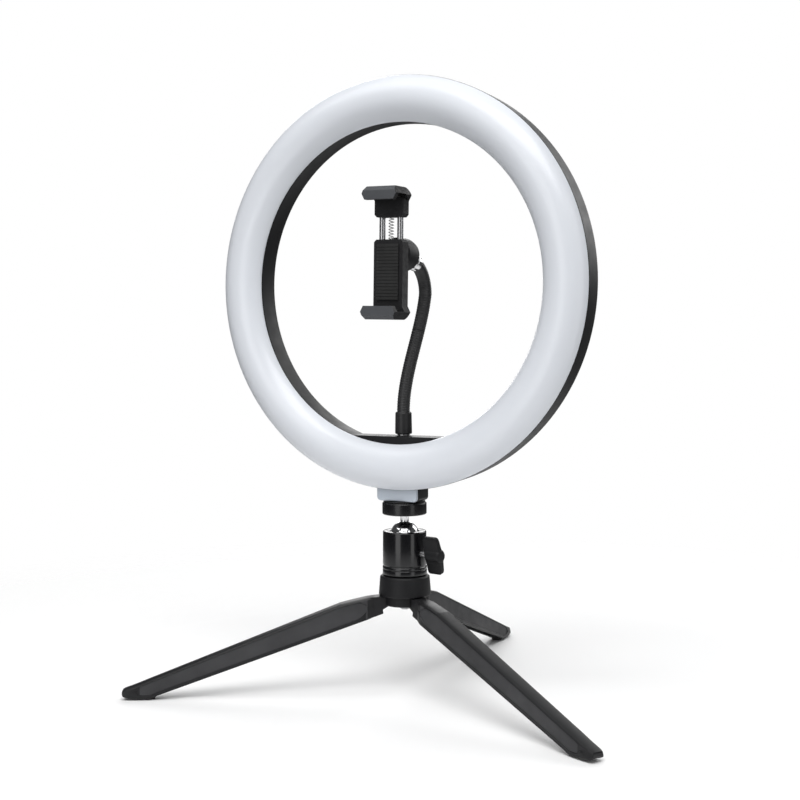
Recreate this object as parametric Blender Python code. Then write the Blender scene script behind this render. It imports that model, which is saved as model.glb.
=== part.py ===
"""Ring light on a folding table tripod, with a phone clamp on a bendable neck.

Everything is in metres, +Z up. The ring faces -Y. The floor is z = 0.
Each separate piece is one object; each moving piece has its origin, or its parent empty,
on the axis it moves about.
"""
import math

import bmesh
import bpy
from mathutils import Matrix, Vector

# ---------------------------------------------------------------- driving dimensions
GAP = 0.0003                    # clearance between pieces that touch
ORIGIN = (0.005375, 0.050415)      # middle of the footprint, seen from the ring's centre line

# ring head
RING_Z = 0.2614                 # height of the ring's centre
RING_R = 0.1300                 # outer radius at the parting line
RING_R_BACK = 0.1293            # outer radius at the back
BORE_R = 0.10095                # inner radius at the parting line
BORE_R_BACK = 0.1015            # inner radius at the back
SHELL_DEPTH = 0.0181            # parting line to back face
SHELL_WALL = 0.0020
DOME_RISE = 0.0088              # height of the diffuser's crown
DIFFUSER_WALL = 0.0016
BORE_PARTING = 0.0006           # the diffuser's inner edge reaches this far back
TONGUE_DEPTH = 0.0020           # locating lip inside the shell's wall
TONGUE_WALL = 0.0016
RING_STEPS = 56
SCREW_COUNT = 8
SCREW_CIRCLE_R = 0.1236
POST_R = 0.0024
SHELF_DROP = 0.09605            # shelf's top face below the ring's centre
TAB_HALF = 0.0143
TAB_BOTTOM = 0.1373             # tab's bottom face below the ring's centre
TAB_WHITE = (0.0013, 0.0043)    # front part of the tab, from the parting line back
TAB_ROUND = 0.0025
LED_COUNT = 24
GLAND_X = -0.026
GLAND_DROP = 0.1126

# tripod head, heights above the floor
AXIS_Y = 0.0120                 # tripod and ball-head axis, behind the parting line
HUB_BOTTOM = 0.0568
COLLAR_BOTTOM = 0.0631
COLLAR_TOP = 0.0758
HOUSING_BOTTOM = 0.0762
HOUSING_TOP = 0.1044
BALL_Z = 0.1014
BALL_R = 0.0092
STEM_R = 0.0027
DISC_BOTTOM = 0.1151
DISC_TOP = 0.1230
DISC_R = 0.0142
THREAD_R = 0.00305              # quarter-inch tripod thread
THREAD_TOP = 0.1304
LOCK_Z = 0.0904
LOCK_AZIMUTH = math.radians(-11.0)
KNOB_ROLL = math.radians(14.5)
HOUSING_R = 0.0142

# legs
LEG_AZIMUTHS = {"left": 213.57, "right": -26.43, "back": 93.57}
PIVOT_R = 0.0105
PIVOT_Z = 0.0602
KNUCKLE_R = 0.0040
KNUCKLE_HALF = 0.0045
LEG_WALL = 0.0017

# bendable neck
NECK_Y = 0.0114
NECK_R = 0.00415
NECK_BASE = RING_Z - 0.081      # where the tube leaves its sleeve
NECK_LEAN = 0.0150              # sideways run of its S-shaped rise
NECK_LEAN_RISE = 0.0850
NECK_LEAN_AZIMUTH = math.radians(35.5)
NECK_RISE = 0.0751              # height of the S-shaped part that is used
NECK_ARC_R = 0.0200             # forward bend behind the clamp
NECK_ARC = math.radians(75.0)
NECK_SIDES = 12

# phone clamp, measured from the centre of its ball
CLAMP_ROLL = 0.0215
CLAMP_STUD = 0.0153             # tube's end to the ball's centre
CLAMP_BALL_R = 0.0055
GAP_HALF = 0.0336               # half the width of the phone it holds
JAW_HALF = 0.0119
PLATE_FRONT = -0.0183
PLATE_BACK = -0.0110
PLATE_TOP = 0.0086
LIP_FRONT = -0.0310
LIP_BACK = -0.0272
LIP_EDGE = 0.0317
LIP_KNEE = 0.0374
JAW_OUTER = 0.0399
PAD_SEAT = 0.0351
ROD_X = 0.0062
ROD_R = 0.0019

for old in list(bpy.data.objects):
    bpy.data.objects.remove(old, do_unlink=True)


# ---------------------------------------------------------------- tools
def material(name, colour, roughness, metallic=0.0):
    """A Principled material of one colour."""
    mat = bpy.data.materials.new(name)
    mat.use_nodes = True
    shader = mat.node_tree.nodes["Principled BSDF"]
    shader.inputs["Base Color"].default_value = (*colour, 1.0)
    shader.inputs["Roughness"].default_value = roughness
    shader.inputs["Metallic"].default_value = metallic
    mat.diffuse_color = (*colour, 1.0)
    return mat


OPAL = material("opal_diffuser", (0.80, 0.82, 0.86), 0.45)
SHELL = material("shell_black", (0.020, 0.020, 0.022), 0.50)
PLASTIC = material("moulded_black", (0.022, 0.022, 0.024), 0.45)
LACQUER = material("black_lacquer", (0.012, 0.012, 0.014), 0.18, 0.6)
CHROME = material("chrome", (0.80, 0.80, 0.80), 0.08, 1.0)
STEEL = material("zinc_steel", (0.55, 0.55, 0.54), 0.30, 1.0)
BRASS = material("brass", (0.70, 0.52, 0.24), 0.30, 1.0)
RUBBER = material("rubber", (0.030, 0.030, 0.030), 0.80)
NYLON = material("nylon", (0.75, 0.75, 0.72), 0.50)
BOARD = material("circuit_board", (0.82, 0.82, 0.80), 0.50)


def empty(name, location=(0, 0, 0), rotation=(0, 0, 0), parent=None):
    """A parent frame, such as a joint's axis."""
    frame = bpy.data.objects.new(name, None)
    bpy.context.collection.objects.link(frame)
    frame.location = location
    frame.rotation_euler = rotation
    frame.parent = parent
    return frame


def islands(bm):
    """Groups of faces that hang together."""
    left = set(bm.faces)
    while left:
        group = []
        edge = [left.pop()]
        while edge:
            face = edge.pop()
            group.append(face)
            near = {other for e in face.edges for other in e.link_faces if other in left}
            left -= near
            edge += near
        yield group


def outward(bm):
    """Turn the faces of each closed body in a mesh to face out."""
    bmesh.ops.recalc_face_normals(bm, faces=bm.faces)
    for faces in list(islands(bm)):
        volume = 0.0
        for face in faces:
            corners = [loop.vert.co for loop in face.loops]
            for b, c in zip(corners[1:], corners[2:]):
                volume += corners[0].dot(b.cross(c))
        if volume < 0:
            bmesh.ops.reverse_faces(bm, faces=faces)
    return bm


def add(name, bm, mat, parent=None, location=(0, 0, 0), rotation=(0, 0, 0)):
    """Make an object of a bmesh, with its faces pointing out and its round sides smooth."""
    outward(bm)
    mesh = bpy.data.meshes.new(name)
    bm.to_mesh(mesh)
    bm.free()
    mesh.materials.append(mat)
    obj = bpy.data.objects.new(name, mesh)
    bpy.context.collection.objects.link(obj)
    obj.location = location
    obj.rotation_euler = rotation
    obj.parent = parent
    smooth(obj)
    return obj


def smooth(obj):
    """Shade the round sides smooth and keep real edges sharp."""
    obj.data.shade_smooth()
    obj.data.set_sharp_from_angle(angle=math.radians(32))


def shape(obj, *steps):
    """Apply Boolean steps to an object: (operation, bmesh) pairs in its own space."""
    tools = []
    for operation, bm in steps:
        tool = add("tool", bm, obj.data.materials[0], obj.parent)
        tool.matrix_basis = obj.matrix_basis
        tool.hide_render = True
        tool.display_type = "WIRE"
        cut = obj.modifiers.new("cut", "BOOLEAN")
        cut.operation = operation
        cut.solver = "EXACT"
        cut.object = tool
        tools.append(tool)
    settled = obj.evaluated_get(bpy.context.evaluated_depsgraph_get())
    mesh = bpy.data.meshes.new_from_object(settled)
    obj.modifiers.clear()
    obj.data = mesh
    for tool in tools:
        bpy.data.objects.remove(tool, do_unlink=True)
    smooth(obj)
    return obj


def turned(profile, steps, axis="Z"):
    """Spin a closed (radius, height) outline about the Z axis."""
    bm = bmesh.new()
    rim = [bm.verts.new((r, 0.0, z)) for r, z in profile]
    edges = []
    for a, b in zip(rim, rim[1:] + rim[:1]):
        if a.co.x > 1e-9 or b.co.x > 1e-9:
            edges.append(bm.edges.new((a, b)))
    bmesh.ops.spin(
        bm, geom=rim + edges, cent=(0, 0, 0), axis=(0, 0, 1), angle=math.tau, steps=steps
    )
    bmesh.ops.remove_doubles(bm, verts=bm.verts, dist=1e-6)
    if axis == "X":
        bmesh.ops.rotate(bm, verts=bm.verts, matrix=Matrix.Rotation(math.pi / 2, 3, "Y"))
    if axis == "Y":
        bmesh.ops.rotate(bm, verts=bm.verts, matrix=Matrix.Rotation(-math.pi / 2, 3, "X"))
    return bm


def tube(outer, inner, low, high, steps, axis="Z"):
    """A plain round tube, or a rod if inner is 0."""
    return turned([(inner, low), (outer, low), (outer, high), (inner, high)], steps, axis)


def moved(bm, offset):
    bmesh.ops.translate(bm, verts=bm.verts, vec=offset)
    return bm


def merged(*parts):
    """Several closed bodies in one mesh, for use as one tool."""
    out = bmesh.new()
    for bm in parts:
        outward(bm)
        mesh = bpy.data.meshes.new("part")
        bm.to_mesh(mesh)
        bm.free()
        out.from_mesh(mesh)
        bpy.data.meshes.remove(mesh)
    return out


def block(low, high):
    """A box between two opposite corners."""
    bm = bmesh.new()
    size = Vector(high) - Vector(low)
    middle = (Vector(high) + Vector(low)) / 2
    bmesh.ops.create_cube(bm, size=1.0, matrix=Matrix.Translation(middle) @ Matrix.Diagonal((*size, 1)))
    return bm


def extruded(outline, low, high, plane="XY"):
    """A prism on a closed outline: in XY along Z, in YZ along X, or in XZ along Y."""
    place = {
        "XY": lambda a, b, c: (a, b, c),
        "YZ": lambda a, b, c: (c, a, b),
        "XZ": lambda a, b, c: (a, c, b),
    }[plane]
    bm = bmesh.new()
    base = bm.faces.new([bm.verts.new(place(a, b, low)) for a, b in outline])
    grown = bmesh.ops.extrude_face_region(bm, geom=[base])["geom"]
    moving = [v for v in grown if isinstance(v, bmesh.types.BMVert)]
    bmesh.ops.translate(bm, verts=moving, vec=place(0.0, 0.0, high - low))
    return outward(bm)


def arc(centre, radius, start, end, count):
    """Points on a circle, angles in degrees."""
    points = []
    for i in range(count + 1):
        a = math.radians(start + (end - start) * i / count)
        points.append((centre[0] + radius * math.cos(a), centre[1] + radius * math.sin(a)))
    return points


def polar(radius, degrees):
    a = math.radians(degrees)
    return (radius * math.cos(a), radius * math.sin(a))


# ---------------------------------------------------------------- frames
assembly = empty("assembly", (-ORIGIN[0], -ORIGIN[1], 0.0))
# In ring space, local +Z is the front and local +Y is up.
ring = empty("ring_frame", (0, 0, RING_Z), (math.pi / 2, 0, 0), assembly)
column = empty("column_axis", (0, AXIS_Y, 0), (0, 0, 0), assembly)


# ---------------------------------------------------------------- ring head
def screw_places():
    for k in range(SCREW_COUNT):
        yield k, polar(SCREW_CIRCLE_R, 22.5 + 360.0 / SCREW_COUNT * k)


def dome(inset, count):
    """The diffuser's crown from its outer edge to its inner edge, set in by a wall."""
    half = (RING_R - 0.0002 - BORE_R) / 2
    middle = (RING_R - 0.0002 + BORE_R) / 2
    radius = (half**2 + DOME_RISE**2) / (2 * DOME_RISE)
    centre = DOME_RISE - radius
    reach = math.acos(-centre / radius) if inset == 0 else math.acos(-centre / (radius - inset))
    reach = math.degrees(reach)
    return arc((middle, centre), radius - inset, 90 - reach, 90 + reach, count)


def ring_block(half, top, bottom, front, back, corner):
    """A tab-like block below the ring's centre, with its two lower corners rounded."""
    outline = [(half, -top)]
    outline += arc((half - corner, -bottom + corner), corner, 0, -90, 4)
    outline += arc((-half + corner, -bottom + corner), corner, -90, -180, 4)
    outline += [(-half, -top)]
    return extruded(outline, -back, -front)


tongue_out = RING_R - SHELL_WALL - GAP
tongue_in = BORE_R + SHELL_WALL + GAP
crown = dome(0.0, 8)
inner_crown = [p for p in reversed(dome(DIFFUSER_WALL, 4))]
profile = crown + [
    (BORE_R, -BORE_PARTING),
    (tongue_in, -BORE_PARTING),
    (tongue_in, -BORE_PARTING - TONGUE_DEPTH),
    (tongue_in + TONGUE_WALL, -BORE_PARTING - TONGUE_DEPTH),
]
profile += inner_crown + [
    (tongue_out - TONGUE_WALL, -TONGUE_DEPTH),
    (tongue_out, -TONGUE_DEPTH),
    (tongue_out, 0.0),
]
diffuser = add("diffuser", turned(profile, RING_STEPS), OPAL, ring)
posts = []
pilots = []
for k, (x, y) in screw_places():
    posts.append(moved(tube(POST_R, 0.0, -0.0156, 0.0045, 8), (x, y, 0)))
    pilots.append(moved(tube(0.0015, 0.0, -0.0170, -0.0070, 6), (x, y, 0)))
white_tab = ring_block(TAB_HALF, 0.1264, TAB_BOTTOM, TAB_WHITE[0], TAB_WHITE[1], TAB_ROUND)
shape(diffuser, ("UNION", merged(white_tab, *posts)), ("DIFFERENCE", merged(*pilots)))

edge = 0.0015
profile = [
    (RING_R, -GAP),
    (RING_R_BACK, -SHELL_DEPTH + edge),
    (RING_R_BACK - 0.4 * edge, -SHELL_DEPTH + 0.4 * edge),
    (RING_R_BACK - edge, -SHELL_DEPTH),
    (BORE_R_BACK + edge, -SHELL_DEPTH),
    (BORE_R_BACK + 0.4 * edge, -SHELL_DEPTH + 0.4 * edge),
    (BORE_R_BACK, -SHELL_DEPTH + edge),
    (BORE_R, -BORE_PARTING - GAP),
    (BORE_R + SHELL_WALL, -BORE_PARTING - GAP),
    (BORE_R_BACK + SHELL_WALL, -SHELL_DEPTH + SHELL_WALL),
    (RING_R_BACK - SHELL_WALL, -SHELL_DEPTH + SHELL_WALL),
    (RING_R - SHELL_WALL, -GAP),
]
rear_housing = add("rear_housing", turned(profile, RING_STEPS), SHELL, ring)
wall_middle = BORE_R + SHELL_WALL / 2
half_angle = math.degrees(math.acos(SHELF_DROP / wall_middle))
shelf = extruded(arc((0, 0), wall_middle, -90 - half_angle, -90 + half_angle, 12), -0.0166, -0.0012)
black_tab = ring_block(TAB_HALF, 0.1286, TAB_BOTTOM, TAB_WHITE[1] + GAP, 0.0180, TAB_ROUND)
notch = block((-TAB_HALF - GAP, -0.1400, -TAB_WHITE[1] - GAP), (TAB_HALF + GAP, -0.1262, 0.0005))
shape(rear_housing, ("UNION", merged(shelf, black_tab)), ("DIFFERENCE", notch))
holes = [
    moved(tube(0.0045, 0.0, -0.1400, -0.1293, 16, "Y"), (0, 0, -AXIS_Y)),
    moved(tube(0.0045, 0.0, -0.1019, -0.0900, 16, "Y"), (0, 0, -NECK_Y)),
    moved(tube(0.0042, 0.0, -0.0200, -0.0150, 16), (GLAND_X, -GLAND_DROP, 0)),
]
for k, (x, y) in screw_places():
    step = [(0.0, -0.0190), (0.0030, -0.0190), (0.0030, -0.0169), (0.0017, -0.0169)]
    step += [(0.0017, -0.0150), (0.0, -0.0150)]
    holes.append(moved(turned(step, 8), (x, y, 0)))
shape(rear_housing, ("DIFFERENCE", merged(*holes)))

screw = [(0.0, -0.0180), (0.0020, -0.0180), (0.0027, -0.0176), (0.0027, -0.0172)]
screw += [(0.0012, -0.0172), (0.0012, -0.0085), (0.0, -0.0079)]
screw_mesh = None
for k, (x, y) in screw_places():
    screw_obj = add("housing_screw_%d" % (k + 1), turned(screw, 8), STEEL, ring, (x, y, 0))
    screw_mesh = screw_mesh or screw_obj.data
    screw_obj.data = screw_mesh


def raised_faces(bm, faces, height):
    """Push separate faces out of a mesh, keeping it closed."""
    for face in faces:
        grown = bmesh.ops.extrude_face_region(bm, geom=[face])["geom"]
        moving = [v for v in grown if isinstance(v, bmesh.types.BMVert)]
        bmesh.ops.translate(bm, verts=moving, vec=(0, 0, height))
        bmesh.ops.delete(bm, geom=[face], context="FACES_ONLY")


def led_board_mesh():
    """A flat annulus with a square emitter raised on every second sector."""
    radii = (0.1056, 0.1105, 0.1155, 0.1205)
    top = -0.0090
    steps = 2 * LED_COUNT
    outline = [(radii[0], top - 0.0016), (radii[3], top - 0.0016)]
    outline += [(r, top) for r in reversed(radii)]
    bm = turned(outline, steps)
    emitters = []
    for face in bm.faces:
        middle = face.calc_center_median()
        flat = all(abs(v.co.z - top) < 1e-6 for v in face.verts)
        band = radii[1] < math.hypot(middle.x, middle.y) < radii[2]
        sector = int(math.floor(math.atan2(middle.y, middle.x) / math.tau * steps))
        if flat and band and sector % 2 == 0:
            emitters.append(face)
    raised_faces(bm, emitters, 0.0009)
    return bm


add("led_board", led_board_mesh(), BOARD, ring)
add("tab_insert", tube(0.0042, THREAD_R + GAP, -0.1369, -0.1297, 16, "Y"), BRASS, ring, (0, 0, -AXIS_Y))
add("shelf_insert", tube(0.0042, 0.0029, -0.1016, -0.0964, 16, "Y"), BRASS, ring, (0, 0, -NECK_Y))
gland = [(0.0019, -0.0155), (0.0039, -0.0155), (0.0039, -0.0184), (0.0053, -0.0184)]
gland += [(0.0049, -0.0200), (0.0036, -0.0212), (0.0019, -0.0212)]
add("cable_gland", turned(gland, 16), RUBBER, ring, (GLAND_X, -GLAND_DROP, 0))

# ---------------------------------------------------------------- ball head
def at(z):
    return (0, 0, z)


turning = empty("head_axis", at(0), (0, 0, 0), column)
ball = empty("ball_centre", at(BALL_Z), (0, 0, 0), column)
lock = empty("lock_axis", at(LOCK_Z), (0, 0, LOCK_AZIMUTH), column)

seat_r = BALL_R + GAP
mouth = math.sqrt(seat_r**2 - (HOUSING_TOP - BALL_Z) ** 2)
bore = 0.0096
profile = [
    (HOUSING_R - 0.0008, HOUSING_TOP),
    (HOUSING_R - 0.0003, HOUSING_TOP - 0.0006),
    (HOUSING_R - 0.0001, HOUSING_BOTTOM + 0.0066),
    (HOUSING_R - 0.0005, HOUSING_BOTTOM + 0.0062),
    (HOUSING_R - 0.0005, HOUSING_BOTTOM + 0.0057),
    (HOUSING_R, HOUSING_BOTTOM + 0.0053),
    (HOUSING_R + 0.0001, HOUSING_BOTTOM + 0.0006),
    (HOUSING_R - 0.0005, HOUSING_BOTTOM),
    (THREAD_R + GAP, HOUSING_BOTTOM),
    (THREAD_R + GAP, HOUSING_BOTTOM + 0.0072),
    (bore, HOUSING_BOTTOM + 0.0072),
    (bore, BALL_Z),
    (0.5 * (bore + mouth) + 0.0002, BALL_Z + 0.0017),
    (mouth, HOUSING_TOP - 0.0002),
    (mouth + 0.0004, HOUSING_TOP),
]
head_housing = add("head_housing", turned(profile, 28), LACQUER, turning)
radial = turned([(0.0, 0.0062), (0.0023, 0.0062), (0.0023, 0.0200), (0.0, 0.0200)], 12, "X")
bmesh.ops.rotate(radial, verts=radial.verts, matrix=Matrix.Rotation(LOCK_AZIMUTH, 3, "Z"))
shape(head_housing, ("DIFFERENCE", moved(radial.copy(), at(LOCK_Z))))

seat = arc((0, BALL_Z), seat_r, -90, -22, 6)
seat = [(max(r, 0.0), z) for r, z in seat]
seat += [(bore - GAP, seat[-1][1]), (bore - GAP, HOUSING_BOTTOM + 0.0078), (0.0, HOUSING_BOTTOM + 0.0078)]
ball_seat = add("ball_seat", turned(seat, 24), NYLON, turning)
shape(ball_seat, ("DIFFERENCE", moved(radial, at(LOCK_Z))))

shaft = [(0.0, 0.0066), (0.0014, 0.0072), (0.0020, 0.0078), (0.0020, 0.0255), (0.0, 0.0255)]
add("lock_screw", turned(shaft, 12, "X"), STEEL, lock)


def knob():
    """A hub with a flat wing across it."""
    hub = turned([(0.0, 0.0194), (0.0040, 0.0194), (0.0042, 0.0200), (0.0042, 0.0292),
                  (0.0034, 0.0300), (0.0, 0.0300)], 16, "X")
    outline = [(0.0180, 0.0), (0.0180, 0.0104), (0.0186, 0.0118), (0.0200, 0.0124), (0.0268, 0.0122),
               (0.0288, 0.0108), (0.0296, 0.0060), (0.0296, -0.0060), (0.0288, -0.0108),
               (0.0268, -0.0122), (0.0200, -0.0124), (0.0186, -0.0118), (0.0180, -0.0104)]
    wing = extruded(outline, -0.0016, 0.0016, "XZ")
    return hub, wing


hub_part, wing_part = knob()
lock_knob = add("lock_knob", hub_part, PLASTIC, lock, (0, 0, 0), (KNOB_ROLL, 0, 0))
hole = turned([(0.0, 0.0180), (0.0023, 0.0180), (0.0023, 0.0260), (0.0, 0.0260)], 12, "X")
shape(lock_knob, ("UNION", wing_part), ("DIFFERENCE", hole))

stem = [(max(r, 0.0), z) for r, z in arc((0, 0), BALL_R, -90, math.degrees(math.acos(STEM_R / BALL_R)), 12)]
stem += [(STEM_R, DISC_BOTTOM - BALL_Z - GAP), (THREAD_R, DISC_BOTTOM - BALL_Z + 0.0002)]
stem += [(THREAD_R, THREAD_TOP - BALL_Z - 0.0004), (THREAD_R - 0.0005, THREAD_TOP - BALL_Z)]
stem += [(0.0, THREAD_TOP - BALL_Z)]
add("ball_stem", turned(stem, 24), CHROME, ball)
disc = [(THREAD_R + GAP, 0.0), (DISC_R - 0.0005, 0.0), (DISC_R, 0.0005), (DISC_R, 0.0075),
        (DISC_R - 0.0004, 0.0079), (THREAD_R + GAP, 0.0079)]
drop = DISC_BOTTOM - BALL_Z
add("head_disc", moved(turned(disc, 28), at(drop)), LACQUER, ball)
pad = DISC_TOP - BALL_Z
add("disc_pad", moved(tube(DISC_R - 0.0008, THREAD_R + 0.0006, 0.0003, 0.0008, 24), at(pad)), RUBBER, ball)

# ---------------------------------------------------------------- tripod
profile = [
    (0.0148, COLLAR_TOP), (0.0155, COLLAR_TOP - 0.0003), (0.0159, COLLAR_TOP - 0.0012),
    (0.0168, COLLAR_BOTTOM + 0.0005), (0.0166, COLLAR_BOTTOM), (0.0144, COLLAR_BOTTOM),
    (0.0142, COLLAR_TOP - 0.0040), (THREAD_R + GAP, COLLAR_TOP - 0.0040), (THREAD_R + GAP, COLLAR_TOP),
]
add("collar", turned(profile, 28), PLASTIC, column)
hub_r = 0.0136
profile = [
    (THREAD_R + GAP, HUB_BOTTOM), (hub_r - 0.0005, HUB_BOTTOM), (hub_r, HUB_BOTTOM + 0.0005),
    (hub_r, COLLAR_TOP - 0.0045), (THREAD_R + GAP, COLLAR_TOP - 0.0045),
]
hub = add("hub", turned(profile, 28), PLASTIC, column)
slots = []
pin_holes = []
for degrees in LEG_AZIMUTHS.values():
    slot = block((0.0056, -KNUCKLE_HALF - GAP, 0.0500), (0.0200, KNUCKLE_HALF + GAP, PIVOT_Z + 0.0049))
    hole = moved(tube(0.0013, 0.0, -0.0100, 0.0100, 8, "Y"), (PIVOT_R, 0, PIVOT_Z))
    for bm in (slot, hole):
        bmesh.ops.rotate(bm, verts=bm.verts, matrix=Matrix.Rotation(math.radians(degrees), 3, "Z"))
    slots.append(slot)
    pin_holes.append(hole)
shape(hub, ("DIFFERENCE", merged(*slots)), ("DIFFERENCE", merged(*pin_holes)))
bolt = [(0.0, 0.0532), (0.0028, 0.0536), (0.0042, 0.0548), (0.0048, HUB_BOTTOM - GAP)]
bolt += [(THREAD_R, HUB_BOTTOM - GAP), (THREAD_R, HOUSING_BOTTOM + 0.0070), (0.0, HOUSING_BOTTOM + 0.0070)]
add("centre_bolt", turned(bolt, 20), STEEL, column)


# A leg's section at each distance from the tripod's axis:
# distance, crest height, underside height, half width at the crease, half width at the underside
def leg_underside(r):
    return RING_Z - 0.2126 - 0.3416 * (r - 0.0227)


def leg_crest(r):
    return RING_Z - 0.2030 - 0.3775 * (r - 0.0415)


def leg_stations():
    first = 0.0205
    yield (first, RING_Z - 0.1986, leg_underside(first), 0.0047, 0.0049)
    yield (0.0240, RING_Z - 0.1991, leg_underside(0.0240), 0.0055, 0.0060)
    yield (0.0330, RING_Z - 0.2010, leg_underside(0.0330), 0.0056, 0.0061)
    for r in (0.0415, 0.0700, 0.1000, 0.1300, 0.1580):
        taper = (r - 0.0415) / 0.1165
        yield (r, leg_crest(r), leg_underside(r), 0.0056 - 0.0006 * taper, 0.0061 - 0.0006 * taper)
    yield (0.1625, leg_crest(0.1625), 0.0008, 0.0050, 0.0055)
    yield (0.1670, leg_crest(0.1670), 0.0006, 0.0050, 0.0054)
    yield (0.1740, leg_crest(0.1740), 0.0034, 0.0049, 0.0052)
    yield (0.1785, 0.0075, 0.0048, 0.0047, 0.0049)
    yield (0.1804, 0.0068, 0.0056, 0.0044, 0.0045)


def leg_body():
    """The leg's outer form, lofted through its stations, in the plane of its fold."""
    bm = bmesh.new()
    rings = []
    for r, crest, under, top_half, low_half in leg_stations():
        rise = 0.0007
        section = [(-low_half, under), (-top_half, crest - rise), (-0.5 * top_half, crest - 0.2 * rise),
                   (0.5 * top_half, crest - 0.2 * rise), (top_half, crest - rise), (low_half, under)]
        rings.append([bm.verts.new((r - PIVOT_R, y, z - PIVOT_Z)) for y, z in section])
    for near, far in zip(rings, rings[1:]):
        for i in range(len(near)):
            j = (i + 1) % len(near)
            bm.faces.new((near[i], near[j], far[j], far[i]))
    bm.faces.new(rings[0])
    bm.faces.new(rings[-1])
    return outward(bm)


def leg_knuckle():
    """The narrow inner end: a round eye on the hinge, and the stop below it."""
    outline = arc((0, 0), KNUCKLE_R, 37, 278, 12)
    lower = [(0.0146, -0.2073), (0.0142, -0.2098), (0.0187, -0.2114), (0.0250, -0.21338)]
    upper = [(0.0250, -0.2000), (0.0190, -0.1992), (0.0165, -0.1988)]
    outline += [(r - PIVOT_R, RING_Z + h - PIVOT_Z) for r, h in lower + upper]
    return extruded(outline, -KNUCKLE_HALF, KNUCKLE_HALF, "XZ")


def leg_hollow():
    """The channel under the leg, from its inner end to the foot."""
    bm = bmesh.new()
    rings = []
    for r in (0.0270, 0.0415, 0.1000, 0.1565):
        taper = max(0.0, (r - 0.0415) / 0.1165)
        half = 0.0061 - 0.0006 * taper - LEG_WALL
        roof = leg_crest(max(r, 0.0415)) + 0.0012 * max(0.0, 1 - (r - 0.0270) / 0.0145) - 0.0034
        floor = leg_underside(r) - 0.0060
        section = [(-half, floor), (-half + 0.0006, roof), (half - 0.0006, roof), (half, floor)]
        rings.append([bm.verts.new((r - PIVOT_R, y, z - PIVOT_Z)) for y, z in section])
    for near, far in zip(rings, rings[1:]):
        for i in range(4):
            j = (i + 1) % 4
            bm.faces.new((near[i], near[j], far[j], far[i]))
    bm.faces.new(rings[0])
    bm.faces.new(rings[-1])
    outward(bm)
    relief = block((0.0130 - PIVOT_R, -0.0030, -0.0200), (0.0285 - PIVOT_R, 0.0030, -0.0052))
    pocket = block((0.1590 - PIVOT_R, -0.0036, -0.0800), (0.1776 - PIVOT_R, 0.0036, 0.0054 - PIVOT_Z))
    eye = tube(0.0013, 0.0, -0.0080, 0.0080, 8, "Y")
    return bm, relief, pocket, eye


def foot():
    """A rubber block in the leg's end, flat where it stands."""
    outline = [(0.1596, 0.0), (0.1705, 0.0), (0.1770, 0.0028), (0.1770, 0.0050), (0.1596, 0.0050)]
    outline = [(r - PIVOT_R, z - PIVOT_Z) for r, z in outline]
    return extruded(outline, -0.0033, 0.0033, "XZ")


leg_mesh = None
foot_mesh = None
for side, degrees in LEG_AZIMUTHS.items():
    heading = math.radians(degrees)
    pivot = (PIVOT_R * math.cos(heading), PIVOT_R * math.sin(heading), PIVOT_Z)
    hinge = empty("leg_%s_axis" % side, pivot, (0, 0, heading), column)
    leg = add("leg_" + side, leg_body(), PLASTIC, hinge)
    if leg_mesh is None:
        channel, relief, pocket, eye = leg_hollow()
        shape(leg, ("UNION", leg_knuckle()), ("DIFFERENCE", channel), ("DIFFERENCE", relief),
              ("DIFFERENCE", merged(pocket, eye)))
        leg_mesh = leg.data
    leg.data = leg_mesh
    pad = add("foot_" + side, foot(), RUBBER, hinge)
    foot_mesh = foot_mesh or pad.data
    pad.data = foot_mesh
    add("pin_" + side, tube(0.0010, 0.0, -0.0070, 0.0070, 8, "Y"), STEEL, hinge)


# ---------------------------------------------------------------- bendable neck
def smoothstep(t):
    t = min(1.0, max(0.0, t))
    return t * t * (3 - 2 * t)


def neck_point(s):
    """The neck's centre line: s in 0..1 is the leaning rise, 1..2 the forward bend, below 0 the sleeve."""
    if s <= 1.0:
        rise = NECK_RISE * s
        lean = NECK_LEAN * smoothstep(rise / NECK_LEAN_RISE)
        x = lean * math.cos(NECK_LEAN_AZIMUTH)
        y = NECK_Y + lean * math.sin(NECK_LEAN_AZIMUTH)
        return Vector((x, y, NECK_BASE + rise))
    start = neck_point(1.0)
    turn = NECK_ARC * (s - 1.0)
    return start + Vector((0, -NECK_ARC_R * (1 - math.cos(turn)), NECK_ARC_R * math.sin(turn)))


def neck_heading(s):
    step = 0.01
    return (neck_point(s + step) - neck_point(s - step)).normalized()


def ring_about(centre, heading, radius, sides):
    """Points of a circle across a heading, numbered from a fixed direction."""
    side = Vector((1, 0, 0))
    side = (side - heading * side.dot(heading)).normalized()
    up = heading.cross(side)
    points = []
    for i in range(sides):
        a = math.tau * i / sides
        points.append(centre + radius * (math.cos(a) * side + math.sin(a) * up))
    return points


def loft(rings, first_pole=None, last_pole=None):
    """A closed skin through rings of points, ended by poles or by flat faces."""
    bm = bmesh.new()
    loops = [[bm.verts.new(p) for p in ring_points] for ring_points in rings]
    for near, far in zip(loops, loops[1:]):
        for i in range(len(near)):
            j = (i + 1) % len(near)
            bm.faces.new((near[i], near[j], far[j], far[i]))
    for loop, pole in ((loops[0], first_pole), (loops[-1], last_pole)):
        if pole is None:
            bm.faces.new(loop)
            continue
        tip = bm.verts.new(pole)
        for i in range(len(loop)):
            bm.faces.new((loop[i], loop[(i + 1) % len(loop)], tip))
    return outward(bm)


NECK_BENDS = (0.42, 0.97, 1.50)
NECK_CUP = NECK_R + 0.00035


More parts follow.
